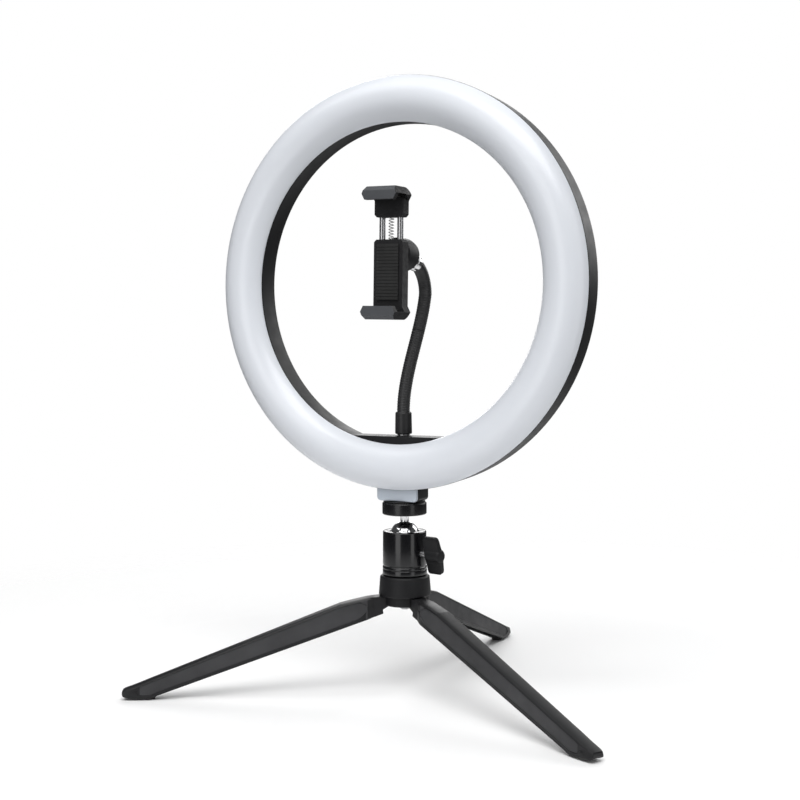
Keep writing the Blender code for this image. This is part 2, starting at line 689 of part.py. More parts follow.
def dome_rings(joint, heading, radius, degrees):
    """Circles on a sphere about a joint, at latitudes up from its equator."""
    rings = []
    for latitude in degrees:
        a = math.radians(latitude)
        centre = joint + heading * radius * math.sin(a)
        rings.append(ring_about(centre, heading, radius * math.cos(a), NECK_SIDES))
    return rings


def neck_segment(start, end, low, high, count):
    """A stretch of the neck: a cup over the bend it starts at and a round end at the bend it ends at."""
    rings = []
    first_pole = None
    last_pole = None
    origin = neck_point(start) if start is not None else Vector((0, NECK_Y, RING_Z))
    if start is not None:
        heading = neck_heading(start)
        rim = math.degrees(math.acos(NECK_R / NECK_CUP))
        first_pole = neck_point(start) + heading * NECK_CUP - origin
        rings += dome_rings(neck_point(start), heading, NECK_CUP, (68, 45, rim))
    for i in range(count + 1):
        s = low + (high - low) * i / count
        rings.append(ring_about(neck_point(s), neck_heading(s), NECK_R, NECK_SIDES))
    if end is not None:
        heading = neck_heading(end)
        last_pole = neck_point(end) + heading * NECK_R - origin
        rings += dome_rings(neck_point(end), heading, NECK_R, (0, 25, 50, 72))
    rings = [[p - origin for p in ring_points] for ring_points in rings]
    return loft(rings, first_pole, last_pole)


neck_axis = empty("neck_axis", (0, NECK_Y, RING_Z), (0, 0, 0), assembly)
profile = [(0.0, -0.1013), (0.0026, -0.1013), (0.0026, -0.0957), (0.0041, -0.0957), (0.0041, -0.0952),
           (0.0026, -0.0952), (0.0026, -0.0885), (0.0, -0.0885)]
add("neck_stud", turned(profile, 16), STEEL, neck_axis)
profile = [
    (0.0029, -0.0949), (0.0051, -0.0949), (0.0054, -0.0944), (0.0052, -0.0815), (0.0048, -0.0809),
    (NECK_R + GAP, -0.0809), (NECK_R + GAP, -0.0859), (0.0029, -0.0864),
]
add("neck_sleeve", turned(profile, 20), PLASTIC, neck_axis)
lower, middle, upper = NECK_BENDS
add("neck_1", neck_segment(None, lower, -0.060, lower - 0.03, 5), RUBBER, neck_axis)
bend = empty("neck_bend_low", neck_point(lower), (0, 0, 0), assembly)
add("neck_2", neck_segment(lower, middle, lower + 0.05, middle - 0.03, 4), RUBBER, bend)
bend = empty("neck_bend_mid", neck_point(middle), (0, 0, 0), assembly)
add("neck_3", neck_segment(middle, upper, middle + 0.09, upper - 0.08, 4), RUBBER, bend)
bend = empty("neck_bend_high", neck_point(upper), (0, 0, 0), assembly)
add("neck_4", neck_segment(upper, None, upper + 0.13, 2.0, 3), RUBBER, bend)

# ---------------------------------------------------------------- phone clamp
# The clamp's own frame: +Z along the jaws' slide, -Y towards the phone, origin at the neck's ball.
neck_end = neck_point(2.0)
neck_exit = neck_heading(2.0)
ball_spot = neck_end + neck_exit * CLAMP_STUD
stud_axis = empty("neck_stud_axis", ball_spot, (0, 0, 0), assembly)
rise_angle = math.atan2(neck_exit.z, -neck_exit.y)
# Along local +Z from the ball back to the tube, then turned to lie on the tube's axis.
profile = [(max(r, 0.0), z) for r, z in arc((0, 0), CLAMP_BALL_R, -90, 66, 10)]
profile += [(0.0022, 0.0085), (0.0046, 0.0092), (0.0051, 0.0099), (0.0051, 0.0172), (0.0048, 0.0176),
            (NECK_R + 0.0005, 0.0176), (NECK_R + 0.0005, CLAMP_STUD - GAP), (0.0, CLAMP_STUD - GAP)]
stud = turned(profile, 20)
bmesh.ops.rotate(stud, verts=stud.verts, matrix=Matrix.Rotation(-0.5 * math.pi - rise_angle, 3, "X"))
add("neck_ball_stud", stud, CHROME, stud_axis)

clamp = empty("clamp_axis", ball_spot, (0, CLAMP_ROLL, 0), assembly)
nut_axis = empty("clamp_nut_axis", ball_spot, (0, CLAMP_ROLL, 0), assembly)
jaw = empty("jaw_axis", ball_spot, (0, CLAMP_ROLL, 0), assembly)
SOCKET_R = CLAMP_BALL_R + GAP


def jaw_outline(top):
    """The bracket's side view with the lower jaw: lip, knee, floor, rounded heel and plate up to the top."""
    heel = [(y, -z) for y, z in arc((PLATE_BACK - 0.0050, JAW_OUTER - 0.0050), 0.0050, 90, 0, 4)]
    return [
        (LIP_FRONT, -LIP_EDGE), (LIP_FRONT, -LIP_KNEE), (LIP_FRONT + 0.0030, -JAW_OUTER), *heel,
        (PLATE_BACK, top), (PLATE_FRONT, top), (PLATE_FRONT, -PAD_SEAT), (LIP_BACK, -PAD_SEAT),
        (LIP_BACK, -LIP_EDGE),
    ]


def jaw_front(top):
    """The same piece seen from the front: a hexagonal jaw with the plate above it."""
    return [
        (-0.0099, -JAW_OUTER - 0.0001), (0.0099, -JAW_OUTER - 0.0001), (JAW_HALF, -0.0353),
        (0.0100, -LIP_EDGE), (0.0100, top - 0.0016), (0.0084, top + 0.0001), (-0.0084, top + 0.0001),
        (-0.0100, top - 0.0016), (-0.0100, -LIP_EDGE), (-JAW_HALF, -0.0353),
    ]


def mirrored(bm):
    """Turn a body over about the clamp's front-to-back line."""
    bmesh.ops.rotate(bm, verts=bm.verts, matrix=Matrix.Rotation(math.pi, 3, "Y"))
    return bm


rod_y = 0.5 * (PLATE_FRONT + PLATE_BACK)


def bore_at(x, radius, low, high, steps=12):
    return moved(tube(radius, 0.0, low, high, steps), (x, rod_y, 0))


def clamp_jaw(name, top, frame, flip):
    jaw_mesh = extruded(jaw_outline(top), -0.0130, 0.0130, "YZ")
    front = extruded(jaw_front(top), -0.0330, -0.0090, "XZ")
    if flip:
        jaw_mesh = mirrored(jaw_mesh)
        front = mirrored(front)
    body = add(name, jaw_mesh, PLASTIC, frame)
    return body, front


clamp_body, front = clamp_jaw("clamp_body", PLATE_TOP, clamp, False)
boss = tube(0.0076, 0.0, PLATE_BACK - 0.0005, -0.0006, 20, "Y")
socket = turned([(max(r, 0.0), z) for r, z in arc((0, 0), SOCKET_R, -90, 90, 12)], 20)
shape(
    clamp_body, ("INTERSECT", front), ("UNION", boss), ("DIFFERENCE", socket),
    ("DIFFERENCE", merged(
        bore_at(ROD_X, ROD_R + 0.00035, -0.0300, 0.0120),
        bore_at(-ROD_X, ROD_R + 0.00035, -0.0300, 0.0120),
        bore_at(0.0, 0.0022, -0.0280, 0.0120),
    )),
)
upper_jaw, front = clamp_jaw("upper_jaw", -0.0220, jaw, True)
shape(
    upper_jaw, ("INTERSECT", front),
    ("DIFFERENCE", merged(
        bore_at(ROD_X, ROD_R + GAP, 0.0100, 0.0365),
        bore_at(-ROD_X, ROD_R + GAP, 0.0100, 0.0365),
        bore_at(0.0, 0.0022, 0.0100, 0.0340),
    )),
)
rod = [(0.0, -0.0172), (ROD_R - 0.0003, -0.0172), (ROD_R, -0.0169), (ROD_R, 0.0362), (0.0, 0.0362)]
for side, x in (("left", -ROD_X), ("right", ROD_X)):
    add("guide_rod_" + side, moved(turned(rod, 12), (x, rod_y, 0)), STEEL, jaw)
spring_foot = empty("clamp_spring_foot", (0, rod_y, -0.0277), (0, 0, 0), clamp)
add("clamp_spring", tube(0.0018, 0.0, 0.0, 0.0614, 12), STEEL, spring_foot)

lip_pad = block((-0.0090, LIP_BACK + GAP, -PAD_SEAT + GAP), (0.0090, PLATE_FRONT - 0.0013, -GAP_HALF))
add("lower_pad", lip_pad, RUBBER, clamp)
lip_pad = block((-0.0090, LIP_BACK + GAP, GAP_HALF), (0.0090, PLATE_FRONT - 0.0013, PAD_SEAT - GAP))
add("upper_pad", lip_pad, RUBBER, jaw)
plate_pad = block((-0.0075, PLATE_FRONT - 0.0011, -0.0280), (0.0075, PLATE_FRONT - GAP, 0.0060))
add("back_pad", plate_pad, RUBBER, clamp)

nut = [(0.00795, -0.0095), (0.0098, -0.0095), (0.0104, -0.0089), (0.0104, 0.0012), (0.0092, 0.0050),
       (0.0063, 0.0050), (math.sqrt(SOCKET_R**2 - 0.0025**2), 0.0025)]
nut += [(SOCKET_R, 0.0003), (0.00795, 0.0002)]
add("socket_nut", turned(nut, 28, "Y"), PLASTIC, nut_axis)
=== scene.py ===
"""Ring light on a folding table tripod, with a phone clamp on a bendable neck.

Lengths are in metres, in the CAD model's frame: +Z up, the light side of the ring faces -Y.
"""
import math

import bmesh
import bpy
from mathutils import Matrix, Vector


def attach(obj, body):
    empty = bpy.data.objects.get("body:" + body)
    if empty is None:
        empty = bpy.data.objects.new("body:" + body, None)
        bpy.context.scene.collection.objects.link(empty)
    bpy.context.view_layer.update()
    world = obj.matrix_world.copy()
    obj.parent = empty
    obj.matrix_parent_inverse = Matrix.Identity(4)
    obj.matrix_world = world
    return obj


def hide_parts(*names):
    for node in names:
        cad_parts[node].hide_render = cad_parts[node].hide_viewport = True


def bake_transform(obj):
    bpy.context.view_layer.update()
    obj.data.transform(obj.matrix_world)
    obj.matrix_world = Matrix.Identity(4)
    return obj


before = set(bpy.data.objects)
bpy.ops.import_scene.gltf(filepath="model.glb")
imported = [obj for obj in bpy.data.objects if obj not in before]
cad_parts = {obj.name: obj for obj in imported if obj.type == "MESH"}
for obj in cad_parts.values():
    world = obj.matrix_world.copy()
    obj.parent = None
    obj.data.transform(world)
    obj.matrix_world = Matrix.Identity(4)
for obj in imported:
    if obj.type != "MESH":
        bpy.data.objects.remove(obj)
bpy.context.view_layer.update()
scene = bpy.context.scene

# ---------------------------------------------------------------- sizes shared with the CAD model
AXIS = Vector((-0.005375, -0.038415, 0.0))
RING_X = -0.005375
RING_Y = -0.050415
RING_Z = 0.2614
NECK_FOOT = Vector((-0.005375, -0.039015, RING_Z))
BALL = Vector((AXIS.x, AXIS.y, 0.1014))
LOCK = Vector((AXIS.x, AXIS.y, 0.0904))
LOCK_AZIMUTH = math.radians(-11.0)
KNOB_ROLL = math.radians(14.5)
CLAMP = Vector((0.006378, -0.060234, 0.278778))
CLAMP_ROLL = 0.0215
LEG_AZIMUTHS = {"left": 213.57, "right": -26.43, "back": 93.57}
PIVOT_R = 0.0105
PIVOT_Z = 0.0602


# ---------------------------------------------------------------- materials
class Shader:
    """A Principled material with a few texture nodes."""

    def __init__(self, name, colour, roughness, metallic=0.0, **sockets):
        self.material = bpy.data.materials.new(name)
        self.material.use_nodes = True
        self.nodes = self.material.node_tree.nodes
        self.links = self.material.node_tree.links
        self.principled = self.nodes["Principled BSDF"]
        self.set("Base Color", (*colour, 1.0))
        self.set("Roughness", roughness)
        self.set("Metallic", metallic)
        for socket, value in sockets.items():
            self.set(socket.replace("_", " "), value)
        self.coordinates = self.nodes.new("ShaderNodeTexCoord").outputs["Object"]
        self.height = None

    def set(self, socket, value):
        self.principled.inputs[socket].default_value = value

    def noise(self, scale, detail=2.0, roughness=0.5, stretch=None):
        texture = self.nodes.new("ShaderNodeTexNoise")
        texture.inputs["Scale"].default_value = scale
        texture.inputs["Detail"].default_value = detail
        texture.inputs["Roughness"].default_value = roughness
        self.link_coordinates(texture, stretch)
        return texture.outputs["Fac"]

    def cells(self, scale):
        texture = self.nodes.new("ShaderNodeTexVoronoi")
        texture.inputs["Scale"].default_value = scale
        self.link_coordinates(texture, None)
        return texture.outputs["Distance"]

    def link_coordinates(self, texture, stretch):
        if stretch is None:
            self.links.new(self.coordinates, texture.inputs["Vector"])
            return
        mapping = self.nodes.new("ShaderNodeMapping")
        mapping.inputs["Scale"].default_value = stretch
        self.links.new(self.coordinates, mapping.inputs["Vector"])
        self.links.new(mapping.outputs["Vector"], texture.inputs["Vector"])

    def mapped(self, value, low, high, from_low=0.3, from_high=0.7):
        ranged = self.nodes.new("ShaderNodeMapRange")
        ranged.inputs["From Min"].default_value = from_low
        ranged.inputs["From Max"].default_value = from_high
        ranged.inputs["To Min"].default_value = low
        ranged.inputs["To Max"].default_value = high
        self.links.new(value, ranged.inputs["Value"])
        return ranged.outputs["Result"]

    def vary_roughness(self, value, low, high):
        self.links.new(self.mapped(value, low, high), self.principled.inputs["Roughness"])

    def vary_colour(self, value, first, second):
        mix = self.nodes.new("ShaderNodeMix")
        mix.data_type = "RGBA"
        mix.inputs["A"].default_value = (*first, 1.0)
        mix.inputs["B"].default_value = (*second, 1.0)
        self.links.new(self.mapped(value, 0.0, 1.0), mix.inputs["Factor"])
        self.links.new(mix.outputs["Result"], self.principled.inputs["Base Color"])

    def bump(self, value, strength, distance):
        node = self.nodes.new("ShaderNodeBump")
        node.inputs["Strength"].default_value = strength
        node.inputs["Distance"].default_value = distance
        self.links.new(value, node.inputs["Height"])
        if self.height is not None:
            self.links.new(self.height, node.inputs["Normal"])
        self.height = node.outputs["Normal"]
        self.links.new(self.height, self.principled.inputs["Normal"])


def moulded(name, dark, light, rough_low, rough_high, grain, depth, specular=0.28):
    """Moulded plastic: fine spark-eroded grain, slow colour drift and uneven sheen."""
    shader = Shader(name, dark, rough_low, Specular_IOR_Level=specular)
    shader.vary_colour(shader.noise(38.0, 3.0), dark, light)
    shader.vary_roughness(shader.noise(130.0, 4.0, 0.6), rough_low, rough_high)
    shader.bump(shader.noise(grain, 2.0, 0.6), 0.55, depth)
    return shader.material


SHELL = moulded("shell_black", (0.006, 0.006, 0.007), (0.009, 0.009, 0.010), 0.42, 0.52, 2600.0, 0.00003)
COLLAR = moulded("collar_black", (0.005, 0.005, 0.006), (0.008, 0.008, 0.009), 0.46, 0.56, 2200.0, 0.00004)
LEG_SMOOTH = moulded("leg_black", (0.009, 0.009, 0.010), (0.013, 0.013, 0.014), 0.36, 0.46, 3000.0, 0.00002)
LEG_TEXTURE = moulded("leg_panel", (0.032, 0.032, 0.034), (0.050, 0.050, 0.053), 0.50, 0.62, 1500.0, 0.00012)
KNOB = moulded("knob_black", (0.005, 0.005, 0.006), (0.008, 0.008, 0.009), 0.44, 0.56, 1900.0, 0.00007)
SLEEVE = moulded("sleeve_black", (0.018, 0.018, 0.019), (0.025, 0.025, 0.026), 0.34, 0.44, 2800.0, 0.00002)
CLAMP_GREY = moulded("clamp_grey", (0.060, 0.063, 0.069), (0.072, 0.075, 0.081), 0.40, 0.50, 2300.0, 0.00003)
INSIDE = moulded("inside_nylon", (0.62, 0.62, 0.58), (0.68, 0.68, 0.64), 0.45, 0.55, 1800.0, 0.00003)


def dotted_rubber():
    """Soft-touch black with a fine raised stipple."""
    shader = Shader("clamp_stipple", (0.013, 0.013, 0.014), 0.55, Specular_IOR_Level=0.3)
    shader.vary_colour(shader.noise(90.0, 3.0), (0.006, 0.006, 0.007), (0.011, 0.011, 0.012))
    shader.vary_roughness(shader.noise(300.0, 3.0), 0.5, 0.66)
    shader.bump(shader.cells(1300.0), 0.7, 0.00016)
    return shader.material


def rubber(name, grain):
    """Matt black rubber; a higher grain is finer."""
    shader = Shader(name, (0.012, 0.012, 0.012), 0.6, Specular_IOR_Level=0.3)
    shader.vary_colour(shader.noise(60.0, 4.0), (0.013, 0.013, 0.013), (0.022, 0.022, 0.022))
    shader.vary_roughness(shader.noise(220.0, 3.0), 0.5, 0.68)
    shader.bump(shader.noise(grain, 3.0, 0.6), 0.6, 0.00006)
    return shader.material


def opal(name, dark, light):
    """Milky acrylic: light sinks in a little, and the surface is nearly smooth."""
    shader = Shader(name, light, 0.27, Specular_IOR_Level=0.5)
    shader.set("Subsurface Weight", 0.12)
    shader.set("Subsurface Radius", (0.004, 0.004, 0.0042))
    shader.set("Coat Weight", 0.15)
    shader.set("Coat Roughness", 0.18)
    shader.vary_colour(shader.noise(6.0, 1.0), dark, light)
    shader.vary_roughness(shader.noise(30.0, 1.0), 0.29, 0.32)
    return shader.material


def lacquer(name, low, high, coat):
    """Glossy black lacquer on turned metal, with faint turning marks under it."""
    shader = Shader(name, (0.006, 0.006, 0.007), low, Specular_IOR_Level=0.4)
    shader.set("Coat Weight", coat)
    shader.set("Coat Roughness", 0.08)
    shader.vary_roughness(shader.noise(70.0, 4.0, 0.6), low, high)
    shader.vary_colour(shader.noise(30.0, 2.0), (0.003, 0.003, 0.004), (0.005, 0.005, 0.006))
    shader.bump(shader.noise(500.0, 3.0, 0.5, (0.15, 0.15, 9.0)), 0.10, 0.00001)
    return shader.material


def metal(name, colour, low, high, stretch, strength=0.15):
    """Bare metal, with streaks along the axis that stretch leaves long."""
    shader = Shader(name, colour, low, 1.0)
    shader.vary_roughness(shader.noise(260.0, 4.0, 0.6, stretch), low, high)
    darker = tuple(0.86 * c for c in colour)
    shader.vary_colour(shader.noise(120.0, 3.0, 0.5, stretch), darker, colour)
    shader.bump(shader.noise(1400.0, 3.0, 0.6, stretch), strength, 0.00001)
    return shader.material


OPAL = opal("opal_white", (0.722, 0.748, 0.793), (0.730, 0.755, 0.800))
# Painted shade: the tab is the ring's own opal, coloured darker and bluer for the shade it sits in under the
# rim's overhang.
TAB_SHADED_OPAL = opal("tab_opal_painted_shade", (0.500, 0.550, 0.615), (0.515, 0.565, 0.630))
STIPPLE = dotted_rubber()
LACQUER = lacquer("lacquer_black", 0.14, 0.24, 0.35)
LACQUER_SOFT = lacquer("lacquer_satin", 0.24, 0.34, 0.1)
NECK_BLACK = moulded("neck_black", (0.014, 0.014, 0.015), (0.022, 0.022, 0.023), 0.38, 0.48, 2400.0,
                     0.00002, 0.5)
FOOT_RUBBER = rubber("foot_rubber", 1300.0)
PAD_RUBBER = rubber("pad_rubber", 1700.0)
CHROME = metal("chrome", (0.80, 0.80, 0.81), 0.05, 0.11, (1.0, 1.0, 1.0), 0.04)
STEEL = metal("steel", (0.55, 0.55, 0.56), 0.24, 0.36, (1.0, 1.0, 6.0))
BOLT_GREY = metal("bolt_grey", (0.42, 0.42, 0.43), 0.30, 0.44, (1.0, 1.0, 1.0))
BRASS = metal("brass", (0.72, 0.55, 0.27), 0.22, 0.34, (1.0, 1.0, 6.0))
SPRING = metal("spring_steel", (0.50, 0.50, 0.50), 0.22, 0.34, (6.0, 1.0, 1.0))


def board_white():
    """White solder mask on the light board."""
    shader = Shader("board_white", (0.80, 0.80, 0.77), 0.45)
    shader.vary_colour(shader.noise(60.0, 3.0), (0.74, 0.74, 0.71), (0.82, 0.82, 0.79))
    shader.vary_roughness(shader.noise(180.0, 3.0), 0.38, 0.5)
    shader.bump(shader.noise(1200.0, 2.0), 0.2, 0.00002)
    return shader.material


BOARD = board_white()


# ---------------------------------------------------------------- mesh tools
def islands(bm):
    """The faces of each separate body."""
    left = set(bm.faces)
    while left:
        group = []
        edge = [left.pop()]
        while edge:
            face = edge.pop()
            group.append(face)
            near = {other for e in face.edges for other in e.link_faces if other in left}
            left -= near
            edge += near
        yield group


def outward(bm):
    """Turn the faces of each closed body to face out."""
    bmesh.ops.recalc_face_normals(bm, faces=bm.faces)
    for faces in list(islands(bm)):
        volume = 0.0
        for face in faces:
            corners = [loop.vert.co for loop in face.loops]
            for b, c in zip(corners[1:], corners[2:]):
                volume += corners[0].dot(b.cross(c))
        if volume < 0:
            bmesh.ops.reverse_faces(bm, faces=faces)
    return bm


def arc(centre, radius, start, end, count):
    """Points on a circle, angles in degrees."""
    points = []
    for i in range(count + 1):
        a = math.radians(start + (end - start) * i / count)
        points.append((centre[0] + radius * math.cos(a), centre[1] + radius * math.sin(a)))
    return points


def rounded(profile, radius, segments=3, sharpest=25.0):
    """Round the corners of a closed outline."""
    out = []
    count = len(profile)
    for i, point in enumerate(profile):
        here = Vector(point)
        back = Vector(profile[i - 1]) - here
        ahead = Vector(profile[(i + 1) % count]) - here
        turn = math.pi - back.angle(ahead, math.pi)
        if math.degrees(turn) < sharpest or here.x < 1e-9:
            out.append(tuple(here))
            continue
        reach = min(radius * math.tan(turn / 2), 0.45 * back.length, 0.45 * ahead.length)
        first = here + back.normalized() * reach
        last = here + ahead.normalized() * reach
        for k in range(segments + 1):
            t = k / segments
            out.append(tuple((1 - t) ** 2 * first + 2 * t * (1 - t) * here + t * t * last))
    return out


def turned(profile, steps, axis="Z"):
    """Spin a closed (radius, height) outline about an axis."""
    bm = bmesh.new()
    rim = [bm.verts.new((max(r, 0.0), 0.0, z)) for r, z in profile]
    edges = []
    for a, b in zip(rim, rim[1:] + rim[:1]):
        if a.co.x > 1e-9 or b.co.x > 1e-9:
            edges.append(bm.edges.new((a, b)))
    bmesh.ops.spin(
        bm, geom=rim + edges, cent=(0, 0, 0), axis=(0, 0, 1), angle=math.tau, steps=steps
    )
    bmesh.ops.remove_doubles(bm, verts=bm.verts, dist=1e-6)
    if axis == "X":
        bmesh.ops.rotate(bm, verts=bm.verts, matrix=Matrix.Rotation(math.pi / 2, 3, "Y"))
    if axis == "Y":
        bmesh.ops.rotate(bm, verts=bm.verts, matrix=Matrix.Rotation(-math.pi / 2, 3, "X"))
    return outward(bm)


def rod(outer, inner, low, high, steps=32, axis="Z"):
    """A round bar, or a tube where inner is above 0."""
    return turned([(inner, low), (outer, low), (outer, high), (inner, high)], steps, axis)


def moved(bm, offset):
    bmesh.ops.translate(bm, verts=bm.verts, vec=offset)
    return bm


def spun(bm, angle, axis):
    bmesh.ops.rotate(bm, verts=bm.verts, matrix=Matrix.Rotation(angle, 3, axis))
    return bm


def extruded(outline, low, high, plane="XY"):
    """A closed outline drawn in a plane, given thickness from low to high across it."""
    place = {
        "XY": lambda a, b, c: (a, b, c),
        "YZ": lambda a, b, c: (c, a, b),
        "XZ": lambda a, b, c: (a, c, b),
    }[plane]
    bm = bmesh.new()
    near = [bm.verts.new(place(a, b, low)) for a, b in outline]
    far = [bm.verts.new(place(a, b, high)) for a, b in outline]
    count = len(outline)
    for i in range(count):
        bm.faces.new((near[i], near[(i + 1) % count], far[(i + 1) % count], far[i]))
    bm.faces.new(near)
    bm.faces.new(far)
    return outward(bm)


def block(low, high):
    """A box between two opposite corners."""
    outline = [(low[0], low[1]), (high[0], low[1]), (high[0], high[1]), (low[0], high[1])]
    return extruded(outline, low[2], high[2])


def merged(*parts):
    """Several bodies in one bmesh."""
    out = bmesh.new()
    for bm in parts:
        mesh = bpy.data.meshes.new("part")
        bm.to_mesh(mesh)
        bm.free()
        out.from_mesh(mesh)
        bpy.data.meshes.remove(mesh)
    return out


def loft(rings):
    """A skin through rings of points, with flat ends."""
    bm = bmesh.new()
    loops = [[bm.verts.new(p) for p in points] for points in rings]
    for near, far in zip(loops, loops[1:]):
        for i in range(len(near)):
            j = (i + 1) % len(near)
            bm.faces.new((near[i], near[j], far[j], far[i]))
    bm.faces.new(loops[0])
    bm.faces.new(loops[-1])
    return outward(bm)


def smooth_by_angle(mesh, degrees=34.0):
    mesh.shade_smooth()
    mesh.set_sharp_from_angle(angle=math.radians(degrees))


def place(name, bm, materials, matrix=Matrix(), pick=None, angle=34.0):
    """An object of a bmesh, set in the world by a matrix; pick(face) gives a face's material number."""
    if not isinstance(materials, (list, tuple)):
        materials = [materials]
    if pick is not None:
        for face in bm.faces:
            face.material_index = pick(face)
    mesh = bpy.data.meshes.new(name)
    bm.to_mesh(mesh)
    bm.free()
    for mat in materials:
        mesh.materials.append(mat)
    smooth_by_angle(mesh, angle)
    obj = bpy.data.objects.new(name, mesh)
    scene.collection.objects.link(obj)
    obj.matrix_world = matrix
    return obj


def edges(obj, width, segments=3, angle=30.0):
    """Rounded edges with clean shading."""
    bevel = obj.modifiers.new("edges", "BEVEL")
    bevel.width = width
    bevel.segments = segments
    bevel.limit_method = "ANGLE"
    bevel.angle_limit = math.radians(angle)
    bevel.miter_outer = "MITER_ARC"
    return obj


def carve(obj, *steps):
    """Apply Boolean steps, (operation, bmesh) in the object's own space, and keep the result."""
    tools = []
    for operation, bm in steps:
        tool = place("tool", bm, obj.data.materials[0], obj.matrix_world)
        cut = obj.modifiers.new("cut", "BOOLEAN")
        cut.operation = operation
        cut.solver = "EXACT"
        cut.object = tool
        tools.append(tool)
    settled = obj.evaluated_get(bpy.context.evaluated_depsgraph_get())
    mesh = bpy.data.meshes.new_from_object(settled)
    obj.modifiers.clear()
    obj.data = mesh
    for tool in tools:
        bpy.data.objects.remove(tool, do_unlink=True)
    smooth_by_angle(mesh)
    return obj


def fit(obj, body, *nodes):
    """The piece moves with a body and stands for CAD nodes."""
    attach(obj, body)
    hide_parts(*nodes)


def at(point, *turns):
    """A place in the world and the turns made there."""
    out = Matrix.Translation(point)
    for angle, axis in turns:
        out = out @ Matrix.Rotation(angle, 4, axis)
    return out


# ---------------------------------------------------------------- camera, floor and light
EYE = (0.411925, -0.799415, 0.2308)
LIGHT_CENTRE = Vector((0.0, -0.04, 0.20))
FILL = 0.07                     # strength of the room's even light
PAPER_SOLID, PAPER_GONE = 0.26, 0.62    # distances where the floor starts and ends its fade
PAPER_DROP = 0.0003             # the floor lies just below the feet


def set_camera():
    """The photograph's viewing angle: yaw to the ring's right, a little downward."""
    yaw, pitch, roll = 0.5083, 0.0492, -0.0062
    forward = Vector((
        -math.sin(yaw) * math.cos(pitch), math.cos(yaw) * math.cos(pitch), -math.sin(pitch)
    ))
    right = Vector((math.cos(yaw), math.sin(yaw), 0.0))
    up = right.cross(forward)
    across = right * math.cos(roll) + up * math.sin(roll)
    upright = across.cross(forward)
    turn = Matrix((across, upright, -forward)).transposed()
    data = bpy.data.cameras.new("camera")
    data.sensor_width = 36.0
    data.lens = 61.257
    data.shift_x = 0.0066
    data.clip_start = 0.01
    data.clip_end = 50.0
    camera = bpy.data.objects.new("camera", data)
    scene.collection.objects.link(camera)
    camera.matrix_world = Matrix.Translation(EYE) @ turn.to_4x4()
    scene.camera = camera


def soft_box(name, azimuth, elevation, distance, width, height, power):
    """A soft box aimed at the object; azimuth 0 is straight in front of the ring, 90 at its right."""
    a, e = math.radians(azimuth), math.radians(elevation)
    where = LIGHT_CENTRE + distance * Vector((
        math.sin(a) * math.cos(e), -math.cos(a) * math.cos(e), math.sin(e)
    ))
    data = bpy.data.lights.new(name, "AREA")
    data.shape = "RECTANGLE"
    data.size = width
    data.size_y = height
    data.energy = power
    lamp = bpy.data.objects.new(name, data)
    scene.collection.objects.link(lamp)
    lamp.location = where
    lamp.rotation_euler = (LIGHT_CENTRE - where).to_track_quat("-Z", "Y").to_euler()


def make_floor():
    """A round sheet of white paper that fades out into the white room."""
    bm = bmesh.new()
    centre = bm.verts.new((0, 0, 0))
    inner = []
    sides = 64
    for radius in (0.2, 0.4, 0.6, 0.8, 1.0):
        angles = [math.tau * i / sides for i in range(sides)]
        outer = [bm.verts.new((radius * math.cos(a), radius * math.sin(a), 0)) for a in angles]
        for i in range(sides):
            j = (i + 1) % sides
            if inner:
                bm.faces.new((inner[i], outer[i], outer[j], inner[j]))
            else:
                bm.faces.new((centre, outer[i], outer[j]))
        inner = outer
    shader = Shader("paper_white", (0.94, 0.94, 0.94), 0.85, Specular_IOR_Level=0.2)
    shader.vary_colour(shader.noise(3.0, 3.0), (0.935, 0.935, 0.935), (0.945, 0.945, 0.945))
    shader.bump(shader.noise(400.0, 3.0), 0.04, 0.0001)
    length = shader.nodes.new("ShaderNodeVectorMath")
    length.operation = "LENGTH"
    shader.links.new(shader.coordinates, length.inputs[0])
    solid = shader.mapped(length.outputs["Value"], 1.0, 0.0, PAPER_SOLID, PAPER_GONE)
    shader.links.new(solid, shader.principled.inputs["Alpha"])
    sheet = place("floor", bm, shader.material, Matrix.Translation((0, 0, -PAPER_DROP)))


def make_room():
    """A room that looks white and lights the object only dimly from all round."""
    world = bpy.data.worlds.new("room")
    world.use_nodes = True
    nodes, links = world.node_tree.nodes, world.node_tree.links
    seen = nodes["Background"]
    seen.inputs["Color"].default_value = (1.0, 1.0, 1.0, 1.0)
    seen.inputs["Strength"].default_value = 1.0
    fill = nodes.new("ShaderNodeBackground")
    fill.inputs["Color"].default_value = (0.96, 0.98, 1.0, 1.0)
    fill.inputs["Strength"].default_value = FILL
    mix = nodes.new("ShaderNodeMixShader")
    path = nodes.new("ShaderNodeLightPath")
    links.new(path.outputs["Is Camera Ray"], mix.inputs[0])
    links.new(fill.outputs[0], mix.inputs[1])
    links.new(seen.outputs[0], mix.inputs[2])
    links.new(mix.outputs[0], nodes["World Output"].inputs["Surface"])
    scene.world = world


def set_stage():
    """A pale floor, a white room and soft light boxes round the object."""
    make_floor()
    make_room()
    scene.view_settings.view_transform = "Standard"
    soft_box("left_box", -7.0, 6.0, 1.3, 0.62, 1.5, 5.0)
    soft_box("right_box", 70.0, 6.0, 1.3, 0.40, 1.5, 2.5)
    soft_box("key_box", 24.0, 52.0, 1.6, 1.3, 0.9, 18.0)
    soft_box("far_left_box", -50.0, 52.0, 1.6, 0.8, 0.8, 4.0)
    soft_box("back_right_box", 160.0, 26.0, 1.6, 0.9, 1.0, 7.0)
    soft_box("back_left_box", -150.0, 26.0, 1.6, 0.9, 1.2, 10.0)
    soft_box("top_box", 20.0, 86.0, 1.7, 1.6, 1.6, 9.0)


set_camera()
set_stage()

